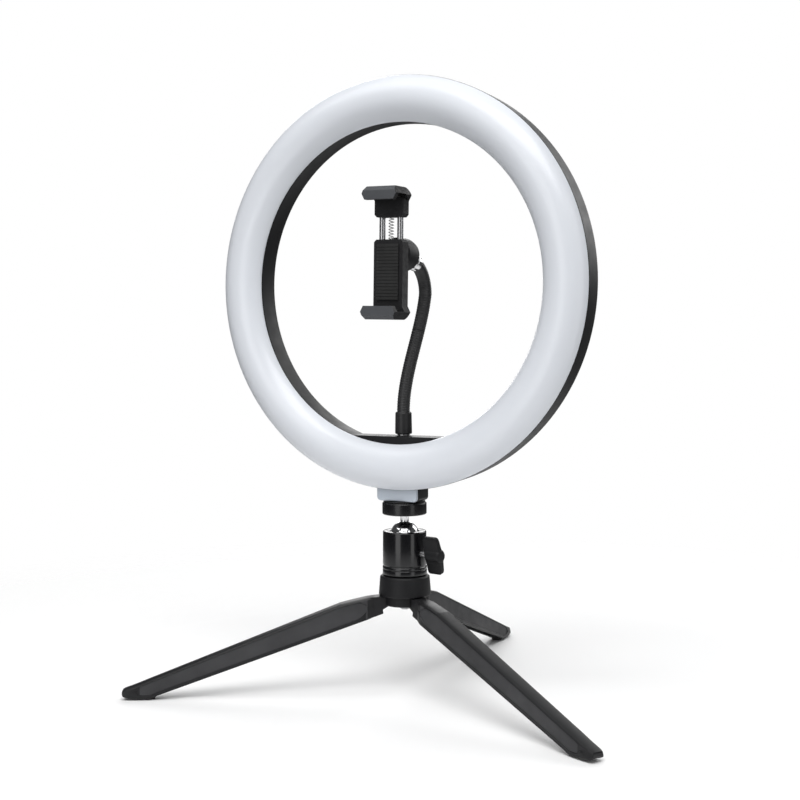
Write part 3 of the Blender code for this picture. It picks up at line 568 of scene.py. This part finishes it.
# ---------------------------------------------------------------- ring head
# In ring space, local +Z is the front and local +Y is up.
RING = at((RING_X, RING_Y, RING_Z), (math.pi / 2, "X"))
R_OUT, R_OUT_BACK = 0.1300, 0.1293
R_IN, R_IN_BACK = 0.10095, 0.1015
DEPTH = 0.0181
SCREW_CIRCLE = 0.1236
GLAND = (-0.026, -0.1126, 0.0)
TAB_HALF, TAB_BOTTOM, TAB_CORNER = 0.0143, 0.1373, 0.0025


def crown(count):
    """The diffuser's swelling front, from its outer edge to its inner edge."""
    half = (R_OUT - 0.0002 - R_IN) / 2
    middle = (R_OUT - 0.0002 + R_IN) / 2
    rise = 0.0088
    radius = (half**2 + rise**2) / (2 * rise)
    centre = rise - radius
    reach = math.degrees(math.acos(-centre / radius))
    return arc((middle, centre), radius, 90 - reach, 90 + reach, count)


def tab_outline(top):
    """The tab under the ring, from its top edge down to its two rounded corners."""
    side, foot = TAB_HALF - TAB_CORNER, TAB_CORNER - TAB_BOTTOM
    outline = [(TAB_HALF, -top)]
    outline += arc((side, foot), TAB_CORNER, 0, -90, 8)
    outline += arc((-side, foot), TAB_CORNER, -90, -180, 8)
    return outline + [(-TAB_HALF, -top)]


def screw_spot(number):
    """Where the ring's screw of this number, 1 to 8, stands."""
    a = math.radians(22.5 + 45.0 * (number - 1))
    return (SCREW_CIRCLE * math.cos(a), SCREW_CIRCLE * math.sin(a), 0)


def make_ring():
    lip = 0.0004
    profile = crown(28) + [
        (R_IN, -0.0004), (R_IN + lip, -0.0009), (R_IN + 0.0020, -0.0009), (R_IN + 0.0034, 0.0030),
        (R_OUT - 0.0040, 0.0030), (R_OUT - 0.0024, -0.0010), (R_OUT - 0.0012, -0.0002),
    ]
    fit(place("diffuser_skin", turned(profile, 180), OPAL, RING), "ring", "diffuser")
    # The tab takes the opal with painted shade in its colour.
    tab = extruded(tab_outline(0.1266), -0.0043, -0.0013)
    fit(edges(place("diffuser_tab", tab, TAB_SHADED_OPAL, RING), 0.0009, 4), "ring", "diffuser")

    profile = [
        (R_OUT, -0.0003), (R_OUT - 0.00005, -0.0012), (R_OUT_BACK, -DEPTH + 0.0016),
        (R_OUT_BACK - 0.0016, -DEPTH), (R_OUT_BACK - 0.0052, -DEPTH), (R_OUT_BACK - 0.0055, -DEPTH + 0.0003),
        (R_OUT_BACK - 0.0060, -DEPTH + 0.0003), (R_OUT_BACK - 0.0063, -DEPTH),
        (R_IN_BACK + 0.0063, -DEPTH), (R_IN_BACK + 0.0060, -DEPTH + 0.0003),
        (R_IN_BACK + 0.0055, -DEPTH + 0.0003), (R_IN_BACK + 0.0052, -DEPTH),
        (R_IN_BACK + 0.0016, -DEPTH), (R_IN_BACK, -DEPTH + 0.0016), (R_IN, -0.0010),
        (R_IN + 0.0020, -0.0012), (R_IN_BACK + 0.0020, -DEPTH + 0.0020),
        (R_OUT_BACK - 0.0020, -DEPTH + 0.0020), (R_OUT - 0.0020, -0.0003),
    ]
    shell = place("housing_shell", turned(rounded(profile, 0.0012, 3, 40.0), 180), SHELL, RING)
    tools = [moved(rod(0.0031, 0.0, -0.0200, -0.0171, 24), screw_spot(k)) for k in range(1, 9)]
    tools.append(moved(rod(0.0043, 0.0, -0.0200, -0.0160, 32), GLAND))
    carve(shell, ("DIFFERENCE", merged(*tools)))
    fit(shell, "ring", "rear_housing")

    black = extruded(tab_outline(0.1285), -0.0180, -0.0046)
    black_tab = place("housing_tab", black, SHELL, RING)
    carve(black_tab, ("DIFFERENCE", moved(rod(0.0045, 0.0, -0.1400, -0.1320, 32, "Y"), (0, 0, -0.0120))))
    fit(edges(black_tab, 0.0006), "ring", "rear_housing")

    wall = 0.10195
    reach = math.degrees(math.acos(0.09605 / wall))
    shelf = extruded(arc((0, 0), wall, -90 - reach, -90 + reach, 36), -0.0166, -0.0014)
    fit(edges(place("ring_shelf", shelf, SHELL, RING), 0.0005), "ring", "rear_housing")


def make_screws():
    """Cross-head screws in the ring's back."""
    profile = [(0.0, -0.0180), (0.0014, -0.01795), (0.0022, -0.0177), (0.0027, -0.0173), (0.0027, -0.0169),
               (0.0, -0.0169)]
    for k in range(1, 9):
        spot = RING @ at(screw_spot(k), (0.7 * k, "Z"))
        head = place("ring_screw_%d" % k, turned(profile, 24), BOLT_GREY, spot)
        across = block((-0.0016, -0.00028, -0.0182), (0.0016, 0.00028, -0.0174))
        along = block((-0.00028, -0.0016, -0.0182), (0.00028, 0.0016, -0.0174))
        carve(head, ("DIFFERENCE", across), ("DIFFERENCE", along))
        fit(head, "ring", "housing_screw_%d" % k)


def make_gland():
    profile = [
        (0.0019, -0.0155), (0.0039, -0.0155), (0.0039, -0.0182), (0.0052, -0.0183), (0.0053, -0.0190),
        (0.0049, -0.0198), (0.0042, -0.0200), (0.0042, -0.0203), (0.0040, -0.0206), (0.0038, -0.0206),
        (0.0036, -0.0209), (0.0034, -0.0212), (0.0021, -0.0212), (0.0019, -0.0210),
    ]
    piece = place("power_inlet", turned(rounded(profile, 0.0003), 40), PAD_RUBBER,
                  RING @ at(GLAND))
    fit(piece, "ring", "cable_gland")


def make_stud():
    profile = [(0.0, -0.1013), (0.0024, -0.1013), (0.0026, -0.1010), (0.0026, -0.0957), (0.0041, -0.0957),
               (0.0041, -0.0952), (0.0026, -0.0952), (0.0026, -0.0887), (0.0024, -0.0885), (0.0, -0.0885)]
    fit(place("neck_bolt", turned(profile, 32), STEEL, at(NECK_FOOT)), "ring", "neck_stud")


make_ring()
make_screws()
make_gland()
make_stud()


# ---------------------------------------------------------------- ball head
def lock_bore(steps):
    """The lock screw's hole, from the ball out through the barrel."""
    hole = rod(0.0023, 0.0, 0.0062, 0.0200, steps, "X")
    return moved(spun(hole, LOCK_AZIMUTH, "Z"), (0, 0, LOCK.z))


def make_head():
    top, low = 0.1044, 0.0762
    outer = 0.0142
    profile = [
        (outer - 0.0009, top), (outer - 0.0003, top - 0.0006), (outer - 0.0001, low + 0.0066),
        (outer - 0.0005, low + 0.0063), (outer - 0.0005, low + 0.0057), (outer, low + 0.0053),
        (outer + 0.00005, low + 0.0041), (outer - 0.0003, low + 0.0039), (outer - 0.0003, low + 0.0036),
        (outer + 0.00005, low + 0.0034), (outer + 0.0001, low + 0.0006), (outer - 0.0005, low),
        (0.0034, low), (0.0034, low + 0.0072), (0.0096, low + 0.0072), (0.0096, BALL.z - 0.0004),
        (0.0096, BALL.z), (0.00945, BALL.z + 0.0015), (0.0091, top - 0.0003), (0.0094, top),
    ]
    body = place("head_barrel", turned(rounded(profile, 0.0004), 96), LACQUER, at(AXIS))
    carve(body, ("DIFFERENCE", lock_bore(32)))
    fit(body, "head", "head_housing")

    profile = arc((0, BALL.z), 0.0095, -90, -22, 20)
    profile += [(0.0093, profile[-1][1]), (0.0093, 0.0840), (0.0, 0.0840)]
    cup = place("ball_cup", turned(profile, 64), INSIDE, at(AXIS))
    carve(cup, ("DIFFERENCE", lock_bore(24)))
    fit(cup, "head", "ball_seat")


def make_lock():
    """The lock screw, and its knob: a hub with a broad wing across it."""
    frame_of_lock = at(LOCK, (LOCK_AZIMUTH, "Z"))
    frame_of_knob = frame_of_lock @ Matrix.Rotation(KNOB_ROLL, 4, "X")
    profile = [(0.0, 0.0066), (0.0012, 0.0070), (0.0020, 0.0078), (0.0020, 0.0255), (0.0, 0.0255)]
    fit(place("lock_bolt", turned(rounded(profile, 0.0003), 40, "X"), STEEL, frame_of_lock),
        "lock", "lock_screw")

    hub = turned(rounded([
        (0.0023, 0.0194), (0.0039, 0.0194), (0.0042, 0.0198), (0.0042, 0.0290), (0.0034, 0.0300),
        (0.0, 0.0300), (0.0, 0.0262), (0.0023, 0.0262),
    ], 0.0006), 48, "X")
    stations = []
    reach, middle, depth = 0.0124, 0.0238, 0.0058
    for i in range(-20, 21):
        z = reach * math.sin(0.5 * math.pi * (i / 20))
        end = (1 - (abs(z) / 0.01242) ** 14) ** 0.5
        waist = math.exp(-((z / 0.0040) ** 2))
        inner = middle - depth * (0.70 + 0.30 * end)
        outer = middle + depth * (0.60 + 0.40 * end) - 0.0009 * (abs(z) / reach) ** 2
        half = 0.00165 * (0.45 + 0.55 * end) + 0.0012 * waist
        corner = 0.3 * half
        box = [(inner, -half), (outer, -half), (outer, half), (inner, half)]
        stations.append([(a, b, z) for a, b in rounded(box, corner, 4, 20.0)])
    fit(place("lock_wing", loft(stations), KNOB, frame_of_knob), "lock", "lock_knob")
    fit(place("lock_hub", hub, KNOB, frame_of_knob), "lock", "lock_knob")


def make_ball():
    """The ball and its threaded stem."""
    profile = arc((0, 0), 0.0092, -90, 72.93, 48)
    drop = 0.1151 - BALL.z
    profile += [(0.0027, drop - 0.0006), (0.0030, drop - 0.0001), (0.00305, drop + 0.0002)]
    z = drop + 0.0003
    while z < 0.0284:
        profile += [(0.00305, z), (0.0027, z + 0.0004)]
        z += 0.0008
    profile += [(0.0026, 0.0290), (0.0, 0.0290)]
    fit(place("ball_and_stem", turned(profile, 64), CHROME, at(BALL)), "ball", "ball_stem")


def make_disc():
    profile = [
        (0.0034, 0.1151), (0.0137, 0.1151), (0.0142, 0.1156), (0.0142, 0.1221), (0.0139, 0.1224),
        (0.0139, 0.1230), (0.0034, 0.1230),
    ]
    fit(place("disc_body", turned(rounded(profile, 0.0003), 96), LACQUER_SOFT, at(AXIS)), "disc", "head_disc")
    profile = [(0.0037, 0.1233), (0.0132, 0.1233), (0.0134, 0.1235), (0.0132, 0.1238), (0.0037, 0.1238)]
    fit(place("disc_cushion", turned(profile, 96), PAD_RUBBER, at(AXIS)), "disc", "disc_pad")


make_head()
make_lock()
make_ball()
make_disc()


# ---------------------------------------------------------------- tripod
def pivot(degrees):
    """The hinge of the leg at this azimuth."""
    return at(AXIS, (math.radians(degrees), "Z")) @ Matrix.Translation((PIVOT_R, 0, PIVOT_Z))


def make_hub():
    top, low, base = 0.0758, 0.0631, 0.0568
    profile = [
        (0.0142, top), (0.0151, top), (0.0159, top - 0.0009), (0.0168, low + 0.0006), (0.0164, low),
        (0.0144, low), (0.0142, top - 0.0040), (0.0034, top - 0.0040), (0.0034, top),
    ]
    fit(place("hub_collar", turned(rounded(profile, 0.0009, 4), 96), COLLAR, at(AXIS)), "tripod", "collar")
    profile = [(0.0034, base), (0.0130, base), (0.0136, base + 0.0006), (0.0136, top - 0.0045),
               (0.0034, top - 0.0045)]
    body = place("hub_block", turned(profile, 96), COLLAR, at(AXIS))
    slots = []
    for degrees in LEG_AZIMUTHS.values():
        slot = block((0.0056, -0.0048, 0.0500), (0.0200, 0.0048, PIVOT_Z + 0.0049))
        slots.append(spun(slot, math.radians(degrees), "Z"))
    carve(body, ("DIFFERENCE", merged(*slots)))
    fit(edges(body, 0.0003, 2), "tripod", "hub")
    profile = [(0.0, 0.0532)] + arc((0, 0.0584), 0.0052, -80, -29, 8)
    profile += [(0.0048, 0.0565), (0.00305, 0.0565), (0.00305, 0.0830), (0.0, 0.0830)]
    bolt = place("hub_bolt", turned(profile, 48), BOLT_GREY, at(AXIS))
    socket = extruded(arc((0, 0), 0.0022, 0, 300, 5), 0.0520, 0.0552)
    carve(bolt, ("DIFFERENCE", socket))
    fit(bolt, "tripod", "centre_bolt")
    for side, degrees in LEG_AZIMUTHS.items():
        pin = rounded([(0.0, -0.0070), (0.0010, -0.0070), (0.0010, 0.0070), (0.0, 0.0070)], 0.0003)
        fit(place("hinge_pin_" + side, turned(pin, 24, "Y"), STEEL, pivot(degrees)), "tripod", "pin_" + side)


def between(table, r):
    """A value at distance r, read along straight stretches between known stations."""
    for (r0, v0), (r1, v1) in zip(table, table[1:]):
        if r <= r1:
            return v0 + (v1 - v0) * max(0.0, (r - r0) / (r1 - r0))
    return table[-1][1]


def leg_crest(r):
    """Height of the leg's top at distance r from the tripod's axis."""
    if r < 0.0415:
        return between([(0.0205, 0.0628), (0.0240, 0.0623), (0.0330, 0.0604), (0.0415, 0.0584)], r)
    if r < 0.1740:
        return RING_Z - 0.2030 - 0.3775 * (r - 0.0415)
    return between([(0.1740, 0.00838), (0.1785, 0.0067), (0.1800, 0.0059), (0.1804, 0.0051)], r)


def leg_under(r):
    """Height of the leg's lower edges at distance r."""
    if r < 0.1580:
        return RING_Z - 0.2126 - 0.3416 * (r - 0.0227)
    return between([(0.1580, 0.00258), (0.1625, 0.0008), (0.1670, 0.0006), (0.1740, 0.0009),
                    (0.1785, 0.0016), (0.1800, 0.0024), (0.1804, 0.0032)], r)


def leg_half(r):
    """Half the leg's width at its lower edges at distance r."""
    taper = min(1.0, max(0.0, (r - 0.0415) / 0.1165))
    wide = 0.0061 - 0.0006 * taper
    if r < 0.0240:
        wide = between([(0.0205, 0.0049), (0.0240, 0.0061)], r)
    if r > 0.1625:
        wide = between([(0.1625, 0.0055), (0.1740, 0.0052), (0.1785, 0.0048), (0.1800, 0.0043),
                        (0.1804, 0.0036)], r)
    return wide


PANEL_START, PANEL_END = 0.0245, 0.1715


def leg_section(r):
    """Half of the leg's outline from the crest's middle down to the channel's roof, right side."""
    top, under, low = leg_crest(r), leg_under(r), leg_half(r)
    high = low - 0.0005
    tall = top - under
    shoulder = min(0.0013, 0.16 * tall)
    near = min(1.0, max(0.0, (r - PANEL_START) / 0.0085))
    far = min(1.0, max(0.0, (PANEL_END - r) / 0.0040))
    open_in = math.sqrt(max(0.0, 1 - (1 - near) ** 2)) * math.sqrt(max(0.0, 1 - (1 - far) ** 2))
    middle = 0.5 * (top - 0.0019 + under + 0.0023)
    span = 0.5 * (top - 0.0019 - under - 0.0023)
    upper = middle + span * open_in
    lower = middle - span * open_in
    sunk = 0.00045 * min(1.0, 1.6 * open_in)
    if tall < 0.0075:
        upper = under + 0.66 * tall
        lower = under + 0.33 * tall
        sunk = 0.0
    hollow = 0.0270 < r < 0.1570
    roof = top - 0.0034 if hollow else under + 0.0002
    inner = low - 0.0017 if hollow else 0.4 * low
    rise = 0.0004 * min(1.0, tall / 0.008)
    return [
        (0.0, top), (0.46 * high, top - 0.5 * rise), (high - 1.25 * shoulder, top - rise),
        (high - 0.45 * shoulder, top - rise - 0.30 * shoulder), (high, top - rise - 0.95 * shoulder),
        (high + 0.00005, upper + 0.00025), (high + 0.0001 - sunk, upper - 0.0001),
        (low - 0.0001 - sunk, lower + 0.0001), (low - 0.00005, lower - 0.00025),
        (low, under + 0.0004), (low - 0.0003, under), (inner + 0.0002, under), (inner, under + 0.0002),
        (inner - 0.0002, roof), (0.3 * inner, roof + 0.00005),
    ]


def leg_loft():
    """The leg's skin, with sections close together where its form changes."""
    radii = [0.0205, 0.0209, 0.0220, 0.0240]
    r = 0.0245
    while r < 0.0335:
        radii.append(r)
        r += 0.0005
    radii += [0.0350, 0.0380, 0.0405, 0.0412, 0.0418, 0.0425, 0.0450]
    r = 0.0500
    while r < 0.1555:
        radii.append(r)
        r += 0.0060
    radii += [0.1564, 0.1569, 0.1571, 0.1576, 0.1584, 0.1604, 0.1625, 0.1650, 0.1670, 0.1680, 0.1690,
              0.1700, 0.1707, 0.1713, 0.1720, 0.1740, 0.1765, 0.1785, 0.1793, 0.1800, 0.1804]
    rings = []
    for r in radii:
        half = leg_section(r)
        points = [(y, z) for y, z in half] + [(-y, z) for y, z in reversed(half[1:])]
        rings.append([(r - PIVOT_R, y, z - PIVOT_Z) for y, z in points])
    return loft(rings)


def leg_pick(face):
    """Material 1 on the sunk side panels, 0 elsewhere."""
    middle = face.calc_center_median()
    r = middle.x + PIVOT_R
    z = middle.z + PIVOT_Z
    if not PANEL_START < r < PANEL_END - 0.002 or abs(face.normal.y) < 0.85:
        return 0
    top, under = leg_crest(r), leg_under(r)
    outside = abs(middle.y) > leg_half(r) - 0.0013
    return 1 if outside and under + 0.0025 < z < top - 0.0020 else 0


def make_leg(side, degrees):
    """A leg in its hinge's frame: the beam, the eye on the hinge pin, and the rubber foot."""
    spot = pivot(degrees)
    beam = place("leg_beam_" + side, leg_loft(), [LEG_SMOOTH, LEG_TEXTURE], spot, leg_pick, 24.0)
    fit(beam, "leg_" + side, "leg_" + side)
    outline = arc((0, 0), 0.0040, 37, 278, 28)
    lower = [(0.0146, -0.2073), (0.0142, -0.2098), (0.0187, -0.2114), (0.0225, -0.2126)]
    upper = [(0.0225, -0.1993), (0.0190, -0.1990), (0.0165, -0.1988)]
    outline += [(r - PIVOT_R, RING_Z + h - PIVOT_Z) for r, h in lower + upper]
    eye = place("leg_eye_" + side, extruded(outline, -0.0045, 0.0045, "XZ"), LEG_SMOOTH, spot)
    relief = block((0.0130 - PIVOT_R, -0.0030, -0.0200), (0.0285 - PIVOT_R, 0.0030, -0.0052))
    carve(eye, ("DIFFERENCE", relief), ("DIFFERENCE", rod(0.0013, 0.0, -0.0080, 0.0080, 24, "Y")))
    fit(edges(eye, 0.0005), "leg_" + side, "leg_" + side)
    outline = [(0.1596, 0.0), (0.1705, 0.0), (0.1770, 0.0028), (0.1770, 0.0050), (0.1596, 0.0050)]
    outline = [(r - PIVOT_R, z - PIVOT_Z) for r, z in outline]
    foot = place("foot_pad_" + side, extruded(outline, -0.0033, 0.0033, "XZ"), FOOT_RUBBER, spot)
    fit(edges(foot, 0.0004), "leg_" + side, "foot_" + side)


make_hub()
for leg_side, leg_degrees in LEG_AZIMUTHS.items():
    make_leg(leg_side, leg_degrees)


# ---------------------------------------------------------------- bendable neck
NECK_R = 0.00415
NECK_RISE = 0.0751
NECK_ARC_R = 0.0200
NECK_ARC = math.radians(75.0)
NECK_BENDS = (0.42, 0.97, 1.50)
NECK_START, NECK_END = -0.058, 2.0
NECK_LAP = 0.004                # how far, in s, neighbouring stretches of hose share their length


def smoothstep(t):
    t = min(1.0, max(0.0, t))
    return t * t * (3 - 2 * t)


def neck_point(s):
    """The neck's centre line: the leaning rise for s in 0..1, the forward bend for 1..2."""
    if s <= 1.0:
        rise = NECK_RISE * s
        lean = 0.0150 * smoothstep(rise / 0.0850)
        heading = math.radians(35.5)
        return Vector((
            NECK_FOOT.x + lean * math.cos(heading), NECK_FOOT.y + lean * math.sin(heading),
            RING_Z - 0.0810 + rise,
        ))
    turn = NECK_ARC * (s - 1.0)
    return neck_point(1.0) + Vector((
        0, -NECK_ARC_R * (1 - math.cos(turn)), NECK_ARC_R * math.sin(turn)
    ))


def neck_heading(s):
    return (neck_point(s + 0.01) - neck_point(s - 0.01)).normalized()


def neck_track(step):
    """Values of s at even distances along the neck, with the distance walked."""
    s, walked = NECK_START, 0.0
    track = [(s, walked)]
    while s < NECK_END:
        ahead = 0.002
        length = (neck_point(s + ahead) - neck_point(s)).length
        s += ahead * step / length
        walked += step
        track.append((s, walked))
    return track


def neck_skin(name, first, last, low_body, high_body, joint, *nodes):
    """A stretch of spiral-ribbed hose along the neck's centre line, baked in place in the world."""
    pitch, sides = 0.00165, 28
    rings = []
    for s, walked in neck_track(pitch / 9):
        if not first <= s <= last:
            continue
        centre, heading = neck_point(s), neck_heading(s)
        side = Vector((1, 0, 0))
        side = (side - heading * side.dot(heading)).normalized()
        up = heading.cross(side)
        points = []
        for i in range(sides):
            a = math.tau * i / sides
            phase = math.tau * (walked / pitch - i / sides)
            rib = max(0.0, math.cos(phase)) ** 0.7
            radius = NECK_R - 0.00016 * (1 - rib)
            points.append(centre + radius * (math.cos(a) * side + math.sin(a) * up))
        rings.append(points)
    obj = place(name, loft(rings), NECK_BLACK, angle=80.0)
    obj.data.shade_smooth()
    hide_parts(*nodes)
    along = neck_heading(joint) * 0.007
    middle = neck_point(joint)
    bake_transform(obj)


def make_neck():
    profile = [
        (0.0029, -0.0949), (0.0050, -0.0949), (0.00535, -0.0945), (0.0054, -0.0938), (0.0052, -0.0817),
        (0.0047, -0.0809), (0.00445, -0.0809), (0.00445, -0.0859), (0.0029, -0.0864),
    ]
    fit(place("hose_sleeve", turned(rounded(profile, 0.0005), 64), SLEEVE, at(NECK_FOOT)),
        "neck_low", "neck_sleeve")
    low, middle, high = NECK_BENDS
    split_a, split_b = 0.5 * (low + middle), 0.5 * (middle + high)
    neck_skin("hose_lower", NECK_START, split_a + NECK_LAP, "neck_low", "neck_mid", low, "neck_1", "neck_2")
    neck_skin("hose_middle", split_a - NECK_LAP, split_b + NECK_LAP, "neck_mid", "neck_high", middle,
              "neck_3")
    neck_skin("hose_upper", split_b - NECK_LAP, NECK_END, "neck_high", "neck_top", high, "neck_4")


def make_neck_stud():
    heading = neck_heading(NECK_END)
    rise = math.atan2(heading.z, -heading.y)
    profile = arc((0, 0), 0.0055, -90, 66, 30)
    profile += [(0.0022, 0.0085), (0.0044, 0.0091), (0.0051, 0.0099), (0.0051, 0.0122), (0.0048, 0.0125),
                (0.0048, 0.0130), (0.0051, 0.0133), (0.0051, 0.0171), (0.0047, 0.0176), (0.0046, 0.0176),
                (0.0046, 0.0150), (0.0, 0.0150)]
    stud = spun(turned(rounded(profile, 0.0003), 48), -0.5 * math.pi - rise, "X")
    fit(place("neck_ball", stud, CHROME, at(CLAMP)), "neck_top", "neck_ball_stud")


make_neck()
make_neck_stud()


# ---------------------------------------------------------------- phone clamp
# The clamp's own frame: +Z along the jaws' slide, -Y towards the phone, origin at the neck's ball.
GRIP = at(CLAMP, (CLAMP_ROLL, "Y"))
PLATE_FRONT, PLATE_BACK = -0.0183, -0.0110
LIP_FRONT, LIP_BACK = -0.0310, -0.0272
LIP_EDGE, LIP_KNEE, JAW_OUTER, PAD_SEAT = 0.0317, 0.0374, 0.0399, 0.0351
JAW_HALF = 0.0119
ROD_X, ROD_R = 0.0062, 0.0019
ROD_Y = 0.5 * (PLATE_FRONT + PLATE_BACK)


def jaw_side(top):
    """A jaw seen from the side: the plate up to top, and the lip that hooks round the phone."""
    heel = [(y, -z) for y, z in arc((PLATE_BACK - 0.0050, JAW_OUTER - 0.0050), 0.0050, 90, 0, 10)]
    return [
        (LIP_FRONT, -LIP_EDGE), (LIP_FRONT, -LIP_KNEE), (LIP_FRONT + 0.0030, -JAW_OUTER), *heel,
        (PLATE_BACK, top), (PLATE_FRONT, top), (PLATE_FRONT, -PAD_SEAT), (LIP_BACK, -PAD_SEAT),
        (LIP_BACK, -LIP_EDGE),
    ]


def jaw_front(top):
    """A jaw seen from the front, with its cut corners."""
    return [
        (-0.0099, -JAW_OUTER - 0.0001), (0.0099, -JAW_OUTER - 0.0001), (JAW_HALF, -0.0353),
        (0.0100, -LIP_EDGE), (0.0100, top - 0.0016), (0.0084, top + 0.0001), (-0.0084, top + 0.0001),
        (-0.0100, top - 0.0016), (-0.0100, -LIP_EDGE), (-JAW_HALF, -0.0353),
    ]


def bore_at(x, radius, low, high):
    """A hole along the slide."""
    return moved(rod(radius, 0.0, low, high, 24), (x, ROD_Y, 0))


def jaw_pick(face):
    """The lip's front and its slanted edge are smooth grey, the rest is stippled black."""
    middle = face.calc_center_median()
    if face.normal.y < -0.5 and middle.y < LIP_FRONT + 0.0032:
        return 1
    return 0


def make_jaw(name, top, flip, body, node, bores, extra=()):
    """A jaw where its side and front forms cross, with its holes; flip turns it over for the upper one."""
    side = extruded(jaw_side(top), -0.0130, 0.0130, "YZ")
    front = extruded(jaw_front(top), -0.0330, -0.0090, "XZ")
    if flip:
        spun(side, math.pi, "Y")
        spun(front, math.pi, "Y")
    obj = place(name, side, [STIPPLE, CLAMP_GREY], GRIP)
    carve(obj, ("INTERSECT", front), *extra, ("DIFFERENCE", bores))
    bm = bmesh.new()
    bm.from_mesh(obj.data)
    bm.normal_update()
    for face in bm.faces:
        face.material_index = jaw_pick(face)
    bm.to_mesh(obj.data)
    bm.free()
    fit(edges(obj, 0.0005, 3), body, node)


def make_clamp():
    socket = turned(arc((0, 0), 0.0058, -90, 90, 24), 40)
    boss = rod(0.0076, 0.0, PLATE_BACK - 0.0005, -0.0006, 56, "Y")
    holes = merged(
        bore_at(ROD_X, ROD_R + 0.0003, -0.0300, 0.0120), bore_at(-ROD_X, ROD_R + 0.0003, -0.0300, 0.0120),
        bore_at(0.0, 0.0022, -0.0280, 0.0120),
    )
    extra = (("UNION", boss), ("DIFFERENCE", socket))
    make_jaw("lower_jaw", 0.0086, False, "clamp", "clamp_body", holes, extra)
    holes = merged(
        bore_at(ROD_X, ROD_R + 0.0002, 0.0100, 0.0365), bore_at(-ROD_X, ROD_R + 0.0002, 0.0100, 0.0365),
        bore_at(0.0, 0.0022, 0.0100, 0.0340),
    )
    make_jaw("upper_jaw_shell", -0.0220, True, "jaw", "upper_jaw", holes)
    for side, x in (("left", -ROD_X), ("right", ROD_X)):
        profile = [(0.0, -0.0172), (ROD_R, -0.0172), (ROD_R, 0.0362), (0.0, 0.0362)]
        rail = turned(rounded(profile, 0.0003), 36)
        fit(place("rail_" + side, moved(rail, (x, ROD_Y, 0)), STEEL, GRIP), "jaw", "guide_rod_" + side)
    pads = (("lower_cushion", "clamp", "lower_pad", -1), ("upper_cushion", "jaw", "upper_pad", 1))
    for name, body, node, sign in pads:
        outline = [(-0.0090, 0.0348), (-0.0090, 0.0338)]
        for k in range(12):
            x = -0.0088 + 0.0016 * k
            outline += [(min(x, 0.0090), 0.0336), (min(x + 0.0008, 0.0090), 0.0336),
                        (min(x + 0.0010, 0.0090), 0.0339), (min(x + 0.0014, 0.0090), 0.0339)]
        outline = [p for i, p in enumerate(outline) if i == 0 or p != outline[i - 1]]
        outline = [p for p in outline if p[0] < 0.00895] + [(0.0090, 0.0338), (0.0090, 0.0348)]
        outline = [(x, sign * z) for x, z in outline]
        pad = extruded(outline, LIP_BACK + 0.0003, PLATE_FRONT - 0.0013, "XZ")
        fit(place(name, pad, PAD_RUBBER, GRIP), body, node)
    rows = [(PLATE_FRONT - 0.0003, -0.0280)]
    z = -0.0280
    while z < 0.0058:
        rows += [(PLATE_FRONT - 0.0011, z + 0.0002), (PLATE_FRONT - 0.0011, z + 0.0014),
                 (PLATE_FRONT - 0.0008, z + 0.0016), (PLATE_FRONT - 0.0008, z + 0.0019)]
        z += 0.0020
    rows += [(PLATE_FRONT - 0.0008, 0.0060), (PLATE_FRONT - 0.0003, 0.0060)]
    back = extruded([p for p in rows if p[1] <= 0.0060], -0.0075, 0.0075, "YZ")
    fit(place("back_cushion", back, PAD_RUBBER, GRIP), "clamp", "back_pad")


def make_spring():
    """A coil of wire along the clamp's slide, baked in place in the world."""
    low, high, turns, wire = -0.0277, 0.0337, 34, 0.00028
    rings = []
    steps = turns * 18
    for i in range(steps + 1):
        t = i / steps
        ease = min(1.0, 14 * t, 14 * (1 - t))
        a = math.tau * turns * t
        radius = 0.0018 - wire
        centre = Vector((radius * math.cos(a), ROD_Y + radius * math.sin(a),
                         low + wire + (high - low - 2 * wire) * t))
        out = Vector((math.cos(a), math.sin(a), 0))
        rings.append([
            centre + wire * (0.6 + 0.4 * ease) * (math.cos(b) * out + math.sin(b) * Vector((0, 0, 1)))
            for b in (math.tau * k / 6 for k in range(6))
        ])
    obj = place("clamp_coil", loft(rings), SPRING, GRIP, angle=80.0)
    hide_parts("clamp_spring")
    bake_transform(obj)


def make_nut():
    """The knurled nut that locks the clamp's ball."""
    profile = [
        (0.00795, -0.0095), (0.0097, -0.0095), (0.0103, -0.0089), (0.0103, 0.0010), (0.0092, 0.0049),
        (0.0063, 0.0050), (0.0052, 0.0025), (0.0058, 0.0003), (0.00795, 0.0002),
    ]
    nut = turned(rounded(profile, 0.0004), 96, "Y")
    for vert in nut.verts:
        radius = math.hypot(vert.co.x, vert.co.z)
        if radius > 0.0100 and -0.0086 < vert.co.y < 0.0008:
            a = math.atan2(vert.co.z, vert.co.x)
            drop = 0.00045 * (math.cos(24 * a) < 0)
            vert.co.x *= (radius - drop) / radius
            vert.co.z *= (radius - drop) / radius
    fit(place("ball_nut", nut, COLLAR, GRIP), "clamp_nut", "socket_nut")


make_clamp()
make_spring()
make_nut()

# ---------------------------------------------------------------- CAD nodes that keep their own shape
for node_name, finish in (("led_board", BOARD), ("tab_insert", BRASS), ("shelf_insert", BRASS)):
    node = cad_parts[node_name]
    node.data.materials.clear()
    node.data.materials.append(finish)
